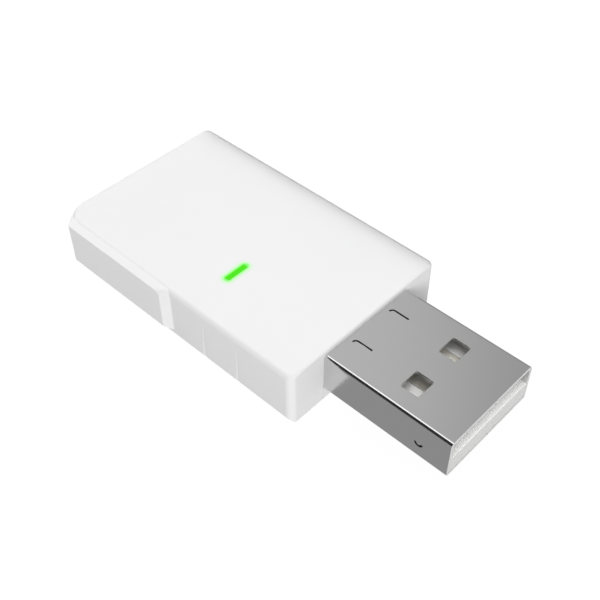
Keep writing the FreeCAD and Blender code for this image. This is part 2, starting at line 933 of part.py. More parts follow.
def small_capacitors():
    """Return the row of small capacitors beside the processor."""
    x, y = spot(small_capacitor_share)
    blocks = []
    for index in range(small_capacitor_count):
        centre = (x - index * small_capacitor_spacing, y)
        blocks.append(capped_block(small_part_size, centre))
    return Part.makeCompound(blocks)


def small_resistors():
    """Return the row of small resistors between the radio and the light source."""
    x, y = spot(small_resistor_share)
    blocks = []
    for index in range(small_resistor_count):
        centre = (x, y + index * small_resistor_spacing)
        blocks.append(capped_block(small_part_size, centre))
    return Part.makeCompound(blocks)


def build():
    """Return every piece of the stick by its name."""
    outside = outer_form()
    pieces = {
        "housing": housing(),
        "base_cover": base_cover(outside),
        "light_pipe": light_pipe(),
        "usb_shell": usb_shell(),
        "usb_insulator": usb_insulator(),
        "main_board": main_board(),
        "wifi_processor": flat_chip(wifi_chip_size, spot(wifi_chip_share)),
        "bluetooth_radio": flat_chip(radio_chip_size, inside_shield(radio_chip_offset)),
        "flash_memory": leaded_chip(memory_chip_size, spot(memory_chip_share), memory_lead_count),
        "voltage_regulator": leaded_chip(
            regulator_chip_size, spot(regulator_chip_share), small_lead_count),
        "surge_protector": leaded_chip(surge_chip_size, spot(surge_chip_share), small_lead_count),
        "main_crystal": crystal_can(main_crystal_size, spot(main_crystal_share)),
        "radio_crystal": crystal_can(radio_crystal_size, inside_shield(radio_crystal_offset)),
        "power_inductor": power_inductor(spot(inductor_share)),
        "resettable_fuse": capped_block(fuse_size, spot(fuse_share)),
        "wifi_antenna": antenna(spot(wifi_antenna_share)),
        "bluetooth_antenna": antenna(spot(bluetooth_antenna_share)),
        "shield_frame": shield_frame(),
        "shield_lid": shield_lid(),
        "status_led": status_led(),
        "large_capacitors": large_capacitors(),
        "small_capacitors": small_capacitors(),
        "small_resistors": small_resistors(),
    }
    for name, y in contact_places.items():
        pieces[name] = usb_contact(y)
    return pieces


def main():
    """Build every piece and write it to its own file."""
    os.makedirs("parts", exist_ok=True)
    for name, shape in build().items():
        if not shape.isValid():
            raise ValueError(name + " isn't a valid shape")
        shape.exportStep("parts/" + name + ".step")
        print(name, "solids", len(shape.Solids), "volume", round(shape.Volume, 3))


main()
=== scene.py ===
"""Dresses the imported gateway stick: finer meshes for what shows and a finish for every piece.

The classes hold their sizes in millimetres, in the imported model's frame: X runs along the stick to
the plug's tip, Y across it, and Z up from the flat underside. A finished mesh is brought to metres.
"""

import logging
import math
from dataclasses import dataclass
from enum import Enum
from typing import Callable, Iterable, Sequence

import bmesh
import bpy
from mathutils import Matrix, Vector


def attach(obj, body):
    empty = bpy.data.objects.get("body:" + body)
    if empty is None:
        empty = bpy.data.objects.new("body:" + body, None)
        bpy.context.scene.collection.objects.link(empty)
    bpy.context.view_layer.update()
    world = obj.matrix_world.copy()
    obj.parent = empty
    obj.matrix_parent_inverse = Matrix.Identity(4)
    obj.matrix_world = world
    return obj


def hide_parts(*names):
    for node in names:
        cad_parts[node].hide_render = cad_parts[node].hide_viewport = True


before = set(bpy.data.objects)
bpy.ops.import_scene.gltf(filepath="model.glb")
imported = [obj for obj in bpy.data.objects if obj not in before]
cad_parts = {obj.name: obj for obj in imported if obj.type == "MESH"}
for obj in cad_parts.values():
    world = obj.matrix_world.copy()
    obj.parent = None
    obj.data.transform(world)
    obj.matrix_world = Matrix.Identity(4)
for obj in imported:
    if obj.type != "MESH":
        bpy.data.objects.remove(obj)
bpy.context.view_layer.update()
LOG = logging.getLogger("gateway_stick")

# Short names for the types
Shape = bmesh.types.BMesh
Face = bmesh.types.BMFace
Edge = bmesh.types.BMEdge
Point = bmesh.types.BMVert
Tree = bpy.types.NodeTree
Socket = bpy.types.NodeSocket
Material = bpy.types.Material
Piece = bpy.types.Object

BODY = "root"
MILLIMETRE = 0.001
# Places that are nearer than this count as the same.
SAME = 1e-4
# A strip lamp's power is this many times its radiance and its area. A soft box's power is this
# many times its strength and the area of a disc with its distance as radius, so that it lights
# the stick the same from any distance.
LAMP_SPREAD = 4.0
# The highest weight that large faces can have over small ones in the shading.
LARGE_FACES_FIRST = 100
# An edge runs along an axis if this share of its length does.
PARALLEL = 0.999
# Two faces that meet at more than this many radians have a sharp edge between them.
SHARP_TURN = 1.0
# A face is upright to a direction if its normal's share along that direction is below this.
UPRIGHT = 0.5
WHITE = "#FFFFFF"
UNLIT = "#000000"

# Sizes that several pieces share
TIP = 23.725
FRONT = 9.275
REAR = -TIP
HALF_WIDTH = 10.4
PLUG_LENGTH = 18.75
PLUG_HALF_WIDTH = 6.0
PLUG_UNDERSIDE = 1.73
PLUG_HEIGHT = 4.5
SLOT_PLACE = (-4.005, -4.16)


class Joining(Enum):
    """How a tool solid changes a base solid."""

    ADD = "UNION"
    CUT = "DIFFERENCE"


class Axis(Enum):
    """The stick's own directions."""

    ALONG = 0
    ACROSS = 1
    UP = 2

    def direction(self) -> Vector:
        """Return the direction as a unit vector."""
        return Vector([float(i == self.value) for i in range(3)])


def same(place: float, other: float) -> bool:
    """Tell whether two places are the same but for rounding."""
    return abs(place - other) < SAME


def running(edges: Iterable[Edge], axis: Axis) -> list[Edge]:
    """Return those of some edges that run in one of the stick's own directions."""
    runs = [(e, e.verts[1].co - e.verts[0].co) for e in edges]
    return [e for e, run in runs if abs(run[axis.value]) > PARALLEL * run.length]


def linear(colour: str) -> tuple[float, float, float, float]:
    """Turn an sRGB hex colour into linear light.

    Args:
        colour: six hex digits after a hash.

    Returns:
        Red, green, blue and an alpha of 1.
    """
    # These are the constants of the sRGB curve itself.
    parts = [int(colour[i:i + 2], 16) / 255 for i in (1, 3, 5)]
    light = [p / 12.92 if p <= 0.04045 else ((p + 0.055) / 1.055) ** 2.4 for p in parts]
    return light[0], light[1], light[2], 1.0


def add_node(tree: Tree, kind: str, settings: dict, inputs: dict) -> bpy.types.Node:
    """Add one shader node with its settings and links.

    Args:
        tree: the node tree.
        kind: the node's type name.
        settings: attribute values of the node.
        inputs: a plain value or a source socket for each input, by name or number.

    Returns:
        The new node.
    """
    node = tree.nodes.new(kind)
    for name, value in settings.items():
        setattr(node, name, value)
    for name, value in inputs.items():
        if isinstance(value, Socket):
            tree.links.new(value, node.inputs[name])
        else:
            node.inputs[name].default_value = value
    return node


def calculated(tree: Tree, operation: str, *values: object) -> Socket:
    """Add one sum.

    Args:
        tree: the node tree.
        operation: what is done with the values.
        values: numbers or source sockets.

    Returns:
        The socket with the result.
    """
    inputs = dict(enumerate(values))
    return add_node(tree, "ShaderNodeMath", {"operation": operation}, inputs).outputs[0]


def blended(tree: Tree, share: Socket, first: object, second: object) -> Socket:
    """Add a blend of two colours.

    Args:
        tree: the node tree.
        share: how much of the second colour shows.
        first: a linear colour or a source socket.
        second: the same.

    Returns:
        The socket with the colour.
    """
    return add_node(tree, "ShaderNodeMix", {"data_type": "RGBA"}, {
        0: share, 6: first, 7: second}).outputs[2]


def noise(tree: Tree, place: Socket, size: float, detail: float = 2.0) -> Socket:
    """Add a random pattern.

    Args:
        tree: the node tree.
        place: the place on the object.
        size: the pattern's size in millimetres.
        detail: the number of finer layers.

    Returns:
        The socket with the pattern's value.
    """
    return add_node(tree, "ShaderNodeTexNoise", {}, {
        "Vector": place, "Scale": 1 / (size * MILLIMETRE), "Detail": detail}).outputs["Fac"]


def varied(tree: Tree, value: Socket, middle: float, spread: float) -> Socket:
    """Let a pattern vary a number.

    Args:
        tree: the node tree.
        value: the pattern's value, from 0 to 1.
        middle: the number's middle.
        spread: how far it goes to either side.

    Returns:
        The socket with the number.
    """
    return add_node(tree, "ShaderNodeMapRange", {}, {
        "Value": value, "To Min": middle - spread,
        "To Max": middle + spread}).outputs["Result"]


def relief(tree: Tree, value: Socket, height: float, strength: float = 1.0) -> Socket:
    """Let a pattern raise the surface.

    Args:
        tree: the node tree.
        value: the pattern's value.
        height: the relief's height in millimetres.
        strength: how much of it shows.

    Returns:
        The socket with the surface's direction.
    """
    return add_node(tree, "ShaderNodeBump", {}, {
        "Height": value, "Distance": height * MILLIMETRE,
        "Strength": strength}).outputs["Normal"]


def ray_kinds(tree: Tree) -> tuple[Socket, Socket]:
    """Tell the kinds of rays apart.

    Args:
        tree: the node tree.

    Returns:
        A socket that is 1 for what the camera sees, also through the lens, and one that is 1
        for what polished metal mirrors.
    """
    path = add_node(tree, "ShaderNodeLightPath", {}, {})
    direct = calculated(
        tree, "MAXIMUM", path.outputs["Is Camera Ray"], path.outputs["Is Transmission Ray"])
    return direct, path.outputs["Is Glossy Ray"]


def blank_material(name: str) -> Material:
    """Make a material.

    Args:
        name: its name.

    Returns:
        The material, without any node.
    """
    made = bpy.data.materials.new(name)
    made.use_nodes = True
    made.node_tree.nodes.clear()
    return made


@dataclass(frozen=True)
class Finish:
    """A finish, which is one procedural material."""

    name: str

    def pattern(self, tree: Tree, place: Socket) -> dict:
        """Add the finish's own nodes.

        Args:
            tree: the material's node tree.
            place: the place on the object.

        Returns:
            The inputs of the Principled shader.
        """
        raise NotImplementedError

    def material(self) -> Material:
        """Make the material.

        Returns:
            The finish as a new material.
        """
        made = blank_material(self.name)
        tree = made.node_tree
        place = add_node(tree, "ShaderNodeTexCoord", {}, {}).outputs["Object"]
        surface = add_node(tree, "ShaderNodeBsdfPrincipled", {}, self.pattern(tree, place))
        add_node(tree, "ShaderNodeOutputMaterial", {}, {"Surface": surface.outputs["BSDF"]})
        return made


@dataclass(frozen=True)
class MouldedPlastic(Finish):
    """Injection-moulded plastic: an even colour under a fine satin grain left by the mould.

    The colour drifts a little over some millimetres, as pigment does along the flow, and the
    spark-eroded mould leaves pits about 0.05 mm apart. They are drawn 0.12 mm apart, which is
    the finest that shows in the render.
    """

    colour: str
    shade: str
    roughness: float
    ior: float
    roughness_spread: float = 0.04
    drift: float = 7.0
    grain: float = 0.12
    grain_height: float = 0.0012

    def pattern(self, tree: Tree, place: Socket) -> dict:
        """Add the colour drift and the grain.

        Args:
            tree: the material's node tree.
            place: the place on the object.

        Returns:
            The shader's inputs.
        """
        flow = noise(tree, place, self.drift)
        pits = noise(tree, place, self.grain)
        return {
            "Base Color": blended(tree, flow, linear(self.colour), linear(self.shade)),
            "Roughness": varied(tree, pits, self.roughness, self.roughness_spread),
            "IOR": self.ior, "Normal": relief(tree, pits, self.grain_height)}


@dataclass(frozen=True)
class PaintedGlowPlastic(MouldedPlastic):
    """White moulded plastic, painted to glow green where the status light shines through its wall.
    """

    light_place: tuple[float, float] = SLOT_PLACE
    light_reach: float = 1.14
    glow_start: float = 0.31
    glow_end: float = 1.0
    painted_glow_tint: str = "#80FF54"
    painted_glow_emission: str = "#005A00"

    def pattern(self, tree: Tree, place: Socket) -> dict:
        """Add the plastic's pattern and the painted green glow round the slot.

        Args:
            tree: the material's node tree.
            place: the place on the object.

        Returns:
            The shader's inputs.
        """
        inputs = super().pattern(tree, place)
        x, y = self.light_place
        centred = add_node(tree, "ShaderNodeMapping", {}, {
            "Vector": place, "Location": (-x * MILLIMETRE, -y * MILLIMETRE, 0.0)})
        sides = add_node(tree, "ShaderNodeSeparateXYZ", {}, {0: centred.outputs["Vector"]})
        length = calculated(tree, "ABSOLUTE", sides.outputs["Y"])
        past = calculated(tree, "SUBTRACT", length, self.light_reach * MILLIMETRE)
        offset = add_node(tree, "ShaderNodeCombineXYZ", {}, {
            "X": sides.outputs["X"], "Y": calculated(tree, "MAXIMUM", past, 0.0)})
        distance = add_node(tree, "ShaderNodeVectorMath", {"operation": "LENGTH"}, {
            0: offset.outputs[0]})
        near = add_node(tree, "ShaderNodeMapRange", {}, {
            "Value": distance.outputs["Value"], "From Min": self.glow_start * MILLIMETRE,
            "From Max": self.glow_end * MILLIMETRE, "To Min": 1.0,
            "To Max": 0.0}).outputs["Result"]
        share = calculated(tree, "MULTIPLY", near, near)
        # Painted glow: near the slot the colour turns green and gives off green light.
        inputs["Base Color"] = blended(
            tree, share, inputs["Base Color"], linear(self.painted_glow_tint))
        inputs["Emission Color"] = blended(
            tree, share, linear(UNLIT), linear(self.painted_glow_emission))
        inputs["Emission Strength"] = 1.0
        return inputs


@dataclass(frozen=True)
class ClearLens(Finish):
    """Clear polycarbonate light pipe, lit green from below: brightest over the light source.

    Its top is finely frosted to spread the light, so its gloss is faint.
    """

    name: str = "polycarbonate_light_pipe"
    body: str = "#2E8A10"
    core: str = "#40C408"
    # Painted glow: the paler green at the pipe's ends stands for light spilling into the white
    # plastic round them.
    end: str = "#90D088"
    middle: float = SLOT_PLACE[1]
    reach: float = 1.42
    full_share: float = 0.85
    flow: float = 0.4
    roughness: float = 0.22
    roughness_spread: float = 0.04
    gloss: float = 0.1
    ior: float = 1.586

    def pattern(self, tree: Tree, place: Socket) -> dict:
        """Add the light's fall-off along the slot and faint flow lines.

        Args:
            tree: the material's node tree.
            place: the place on the object.

        Returns:
            The shader's inputs.
        """
        sides = add_node(tree, "ShaderNodeSeparateXYZ", {}, {0: place})
        offset = calculated(tree, "SUBTRACT", sides.outputs["Y"], self.middle * MILLIMETRE)
        share = add_node(tree, "ShaderNodeMapRange", {"interpolation_type": "SMOOTHSTEP"}, {
            "Value": calculated(tree, "ABSOLUTE", offset),
            "From Min": self.full_share * self.reach * MILLIMETRE,
            "From Max": self.reach * MILLIMETRE}).outputs["Result"]
        flow = noise(tree, place, self.flow)
        return {
            "Base Color": linear(self.body),
            "Emission Color": blended(tree, share, linear(self.core), linear(self.end)),
            "Emission Strength": 1.0,
            "Roughness": varied(tree, flow, self.roughness, self.roughness_spread),
            "IOR": self.ior, "Specular IOR Level": self.gloss}


@dataclass(frozen=True)
class SheetMetal(Finish):
    """Rolled or drawn metal: long faint lines along the rolling, in its gloss and its height.

    Rolling lines lie about 0.02 mm apart. They are drawn 0.1 mm apart, so that they show.
    """

    colour: str
    shade: str
    roughness: float
    roughness_spread: float = 0.02
    metallic: float = 1.0
    line: float = 0.1
    stretch: float = 60.0
    line_height: float = 0.00004
    along: Axis = Axis.ALONG

    def pattern(self, tree: Tree, place: Socket) -> dict:
        """Add the rolling lines.

        Args:
            tree: the material's node tree.
            place: the place on the object.

        Returns:
            The shader's inputs.
        """
        fine = 1 / (self.line * MILLIMETRE)
        spread = [fine / self.stretch if i == self.along.value else fine for i in range(3)]
        drawn_out = add_node(tree, "ShaderNodeMapping", {}, {"Vector": place, "Scale": spread})
        lines = add_node(tree, "ShaderNodeTexNoise", {}, {
            "Vector": drawn_out.outputs["Vector"], "Scale": 1.0,
            "Detail": 3.0}).outputs["Fac"]
        return {
            "Base Color": blended(tree, lines, linear(self.colour), linear(self.shade)),
            "Roughness": varied(tree, lines, self.roughness, self.roughness_spread),
            "Metallic": self.metallic, "Normal": relief(tree, lines, self.line_height)}


@dataclass(frozen=True)
class BandedPart(Finish):
    """A board part with tinned end caps: its body and its caps change over along one axis.

    The bands are the starts and ends of the bare bodies along the axis. Everything else is tin.
    """

    body: str
    shade: str
    axis: Axis
    bands: tuple[tuple[float, float], ...]
    span: float = 30.0
    cap: str = "#C9CACB"
    mottle: float = 0.15
    roughness: float = 0.45
    roughness_spread: float = 0.08

    def pattern(self, tree: Tree, place: Socket) -> dict:
        """Add the body's mottling and the caps.

        Args:
            tree: the material's node tree.
            place: the place on the object.

        Returns:
            The shader's inputs.
        """
        sides = add_node(tree, "ShaderNodeSeparateXYZ", {}, {0: place})
        share = add_node(tree, "ShaderNodeMapRange", {}, {
            "Value": sides.outputs[self.axis.value],
            "From Min": -self.span * MILLIMETRE, "From Max": self.span * MILLIMETRE})
        ramp = add_node(tree, "ShaderNodeValToRGB", {}, {0: share.outputs["Result"]})
        stops = ramp.color_ramp
        stops.interpolation = "CONSTANT"
        stops.elements.remove(stops.elements[1])
        stops.elements[0].color = (1.0, 1.0, 1.0, 1.0)
        for start, end in self.bands:
            for level, edge in ((0.0, start), (1.0, end)):
                stop = stops.elements.new((edge + self.span) / (2 * self.span))
                stop.color = (level, level, level, 1.0)
        mottle = noise(tree, place, self.mottle, detail=3.0)
        body = blended(tree, mottle, linear(self.body), linear(self.shade))
        return {
            "Base Color": blended(tree, ramp.outputs["Color"], body, linear(self.cap)),
            "Metallic": ramp.outputs["Color"],
            "Roughness": varied(tree, mottle, self.roughness, self.roughness_spread)}


@dataclass(frozen=True)
class SolderMask(Finish):
    """Green solder mask over glass-fibre board: its weave and the copper tracks show faintly.

    The glass yarns lie 0.5 mm apart, and the tracks are 0.15 mm wide at 0.9 mm spacing. The
    pattern of tracks repeats after some rows.
    """

    name: str = "green_solder_mask"
    mask: str = "#1E5B3A"
    track: str = "#2E7A4C"
    weave: float = 0.5
    yarn_height: float = 0.004
    yarn_strength: float = 0.5
    spacing: float = 0.9
    rows: int = 6
    track_share: float = 0.014
    track_run: float = 1.7
    roughness: float = 0.31
    roughness_spread: float = 0.03
    ior: float = 1.52

    def pattern(self, tree: Tree, place: Socket) -> dict:
        """Add the weave and the tracks.

        Args:
            tree: the material's node tree.
            place: the place on the object.

        Returns:
            The shader's inputs.
        """
        tracks = add_node(tree, "ShaderNodeTexBrick", {}, {
            "Vector": place, "Scale": 1 / (self.spacing * self.rows * MILLIMETRE),
            "Color1": linear(self.mask), "Color2": linear(self.mask),
            "Mortar": linear(self.track), "Mortar Size": self.track_share,
            "Brick Width": self.track_run, "Row Height": 1 / self.rows})
        yarn = add_node(tree, "ShaderNodeTexChecker", {}, {
            "Vector": place, "Scale": 1 / (self.weave * MILLIMETRE)}).outputs["Fac"]
        return {
            "Base Color": tracks.outputs["Color"],
            "Roughness": varied(tree, yarn, self.roughness, self.roughness_spread),
            "IOR": self.ior,
            "Normal": relief(tree, yarn, self.yarn_height, self.yarn_strength)}


# White ABS, injection-moulded with a fine satin texture: an even, slightly cool white that
# scatters most light and shows no sharp reflections.
# Painted glow: round the status slot the housing's white turns green and gives off light.
HOUSING_ABS_GLOW_PAINTED = PaintedGlowPlastic(
    "white_abs_satin_moulded_glow_painted", "#F3F3F3", "#F1F1F1", roughness=0.42, ior=1.52)
COVER_ABS = MouldedPlastic(
    "white_abs_cover_moulded", "#F3F3F3", "#F1F1F1", roughness=0.42, ior=1.52)
# Nickel over steel, rolled bright and folded: a smooth grey mirror with soft reflections.
SHELL_STEEL = SheetMetal("nickel_plated_steel_rolled", "#D9D9D9", "#D5D5D5", roughness=0.17)
# The sheet's sheared end: a matt, finely torn face that scatters light and looks pale.
SHEARED_STEEL = SheetMetal(
    "steel_sheared_end", "#DCDCDC", "#CFCFCF", roughness=0.6, roughness_spread=0.08,
    metallic=0.0, line=0.06, stretch=1.0)
# The walls of the punched slits and catches: painted shade, a dark colour for the shade inside the
# narrow cuts.
PUNCHED_STEEL_PAINTED_SHADE = SheetMetal(
    "steel_punched_wall_painted_shade", "#3A3A3A", "#2C2C2C", roughness=0.5, roughness_spread=0.1,
    metallic=0.6, line=0.06, stretch=1.0)
# Glass-filled PBT, moulded: a matt, slightly warm white with visible flow.
TONGUE_PBT = MouldedPlastic(
    "white_pbt_moulded", "#CECECD", "#C8C8C7", roughness=0.75, ior=1.55, drift=0.9,
    grain=0.18, grain_height=0.003)
# Gold flash over nickel, stamped from strip: a pale warm metal with a soft sheen.
CONTACT_GOLD = SheetMetal(
    "gold_flash_over_nickel", "#ECE9E1", "#E3DFD4", roughness=0.6, roughness_spread=0.05)
# Tinned steel cans: a soft grey-white metal, blurrier than the plug's nickel.
CAN_TIN = SheetMetal(
    "tinned_steel_can", "#C8CACB", "#BFC1C2", roughness=0.34, roughness_spread=0.05,
    along=Axis.ACROSS)
# Epoxy moulding compound: charcoal black with a dry matt grain.
CHIP_EPOXY = MouldedPlastic(
    "black_epoxy_moulding_compound", "#26272A", "#202124", roughness=0.58, ior=1.55,
    grain=0.08)
# Pressed ferrite: dark grey, matt and slightly mottled.
CHOKE_FERRITE = MouldedPlastic(
    "pressed_ferrite", "#4B4C50", "#404146", roughness=0.62, ior=1.6, drift=0.6, grain=0.1,
    grain_height=0.006)
# White LED housing of high-reflectance polyamide, lit green from inside: its glow is
# emission, and the green tint of its colour is painted light.
LED_BODY = PaintedGlowPlastic("white_led_polyamide", "#E9F2E4", "#DFEBD9", roughness=0.5, ior=1.53)


def linked(name: str, data: bpy.types.ID) -> Piece:
    """Put a new object into the scene.

    Args:
        name: its name.
        data: its mesh, lamp or camera.

    Returns:
        The object.
    """
    made = bpy.data.objects.new(name, data)
    bpy.context.scene.collection.objects.link(made)
    return made


def to_metres(shape: Shape, name: str) -> bpy.types.Mesh:
    """Turn a shape in millimetres into a mesh in metres.

    Args:
        shape: the shape, which is freed.
        name: the mesh's name.

    Returns:
        The mesh.
    """
    bmesh.ops.scale(shape, vec=(MILLIMETRE,) * 3, verts=shape.verts)
    mesh = bpy.data.meshes.new(name)
    shape.to_mesh(mesh)
    shape.free()
    return mesh


def points_of(geometry: Iterable[object]) -> list[Point]:
    """Return the points among an operator's results."""
    return [g for g in geometry if isinstance(g, Point)]


def block(low: Sequence[float], high: Sequence[float]) -> Shape:
    """Make a box.

    Args:
        low: its lowest corner.
        high: its highest corner.

    Returns:
        The box.
    """
    made = bmesh.new()
    bmesh.ops.create_cube(made, size=1.0)
    bmesh.ops.scale(made, vec=Vector(high) - Vector(low), verts=made.verts)
    bmesh.ops.translate(made, vec=(Vector(low) + Vector(high)) / 2, verts=made.verts)
    return made


def edges_where(shape: Shape, test: Callable[[Vector], bool]) -> list[Edge]:
    """Return the edges whose two ends both pass a test of their place."""
    return [e for e in shape.edges if all(test(v.co) for v in e.verts)]


def sharp_among(edges: Iterable[Edge]) -> list[Edge]:
    """Return the sharp ones among some edges."""
    return [e for e in edges if e.is_manifold and e.calc_face_angle() > SHARP_TURN]


def round_over(shape: Shape, edges: Iterable[Edge], radius: float, steps: int) -> None:
    """Round some edges of a shape.

    Args:
        shape: the shape to change.
        edges: the edges to round.
        radius: the rounding's radius.
        steps: the number of flats round each edge.
    """
    bmesh.ops.bevel(
        shape, geom=list(edges), offset=radius, offset_type="OFFSET", segments=steps,
        profile=0.5, affect="EDGES", clamp_overlap=False, material=-1)


def gathered(shapes: Iterable[Shape]) -> Shape:
    """Put several separate shapes into one.

    Args:
        shapes: the shapes, which are freed.

    Returns:
        The shape that holds them all.
    """
    made = bmesh.new()
    carrier = bpy.data.meshes.new("carrier")
    for shape in shapes:
        shape.to_mesh(carrier)
        shape.free()
        made.from_mesh(carrier)
    bpy.data.meshes.remove(carrier)
    return made


def combined(base: Shape, tool: Shape, joining: Joining) -> Shape:
    """Join two closed shapes, or cut one with the other, and free both.

    Args:
        base: the shape that is worked on.
        tool: the shape that is added or taken away.
        joining: what to do.

    Returns:
        The new shape, with its doubled points merged.
    """
    holders = []
    for shape in (base, tool):
        mesh = bpy.data.meshes.new("working")
        shape.to_mesh(mesh)
        shape.free()
        holders.append(linked("working", mesh))
    cutter = holders[0].modifiers.new("working", "BOOLEAN")
    cutter.object = holders[1]
    cutter.operation = joining.value
    cutter.solver = "EXACT"
    made = bmesh.new()
    made.from_object(holders[0], bpy.context.evaluated_depsgraph_get())
    for holder in holders:
        mesh = holder.data
        bpy.data.objects.remove(holder)
        bpy.data.meshes.remove(mesh)
    bmesh.ops.remove_doubles(made, verts=made.verts, dist=SAME)
    return made


def mirrored(shape: Shape) -> Shape:
    """Turn a shape into its mirror image on the stick's other side.

    Args:
        shape: the shape to change.

    Returns:
        The same shape.
    """
    bmesh.ops.scale(shape, vec=(1, -1, 1), verts=shape.verts)
    bmesh.ops.reverse_faces(shape, faces=shape.faces)
    return shape


def whole(faces: Iterable[Face]) -> list[object]:
    """Gather some faces with all that bounds them.

    Args:
        faces: the faces.

    Returns:
        The faces, their edges and their points, each once.
    """
    parts = [(f, *f.edges, *f.verts) for f in faces]
    return list(dict.fromkeys(part for group in parts for part in group))


def mirrored_pair(shape: Shape) -> Shape:
    """Return a shape together with its mirror image on the stick's other side."""
    return gathered([shape, mirrored(shape.copy())])


def swept(
        shape: Shape,
        test: Callable[[Face], bool],
        centre: Sequence[float],
        axis: Axis,
        turn: float,
        steps: int) -> None:
    """Sweep one face of a closed shape round an axis, so that the shape grows by it.

    Args:
        shape: the shape to change.
        test: picks the face.
        centre: a point on the axis.
        axis: the axis's direction.
        turn: the angle in degrees.
        steps: the number of flats.
    """
    end = [f for f in shape.faces if test(f)]
    bmesh.ops.spin(
        shape, geom=end, cent=centre, axis=axis.direction(), angle=math.radians(turn),
        steps=steps, use_duplicate=False)
    bmesh.ops.delete(shape, geom=end, context="FACES_ONLY")
    bmesh.ops.remove_doubles(shape, verts=shape.verts, dist=SAME)
    bmesh.ops.recalc_face_normals(shape, faces=shape.faces)


def finished(
        shape: Shape,
        name: str,
        finish: Finish,
        nodes: Sequence[str],
        others: Sequence[tuple[Finish, Callable[[Face], bool]]] = (),
        smooth_angle: float = 30.0) -> Piece:
    """Turn a shape in millimetres into a finished piece that stands for CAD nodes.

    Args:
        shape: the shape, which is freed.
        name: the piece's name.
        finish: its finish.
        nodes: the CAD nodes that it stands for.
        others: further finishes, each with a test that picks its faces.
        smooth_angle: edges that turn more than this many degrees stay sharp.

    Returns:
        The piece.
    """
    for face in shape.faces:
        face.smooth = True
        for index, (_, test) in enumerate(others, 1):
            if test(face):
                face.material_index = index
    mesh = to_metres(shape, name)
    mesh.set_sharp_from_angle(angle=math.radians(smooth_angle))
    for worn in (finish, *(other for other, _ in others)):
        mesh.materials.append(worn.material())
    piece = linked(name, mesh)
    # The large faces decide the shading of the small ones beside them.
    normals = piece.modifiers.new("even_normals", "WEIGHTED_NORMAL")
    normals.keep_sharp = True
    normals.weight = LARGE_FACES_FIRST
    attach(piece, BODY)
    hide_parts(*nodes)
    LOG.info("%s: %d faces", name, len(mesh.polygons))
    return piece


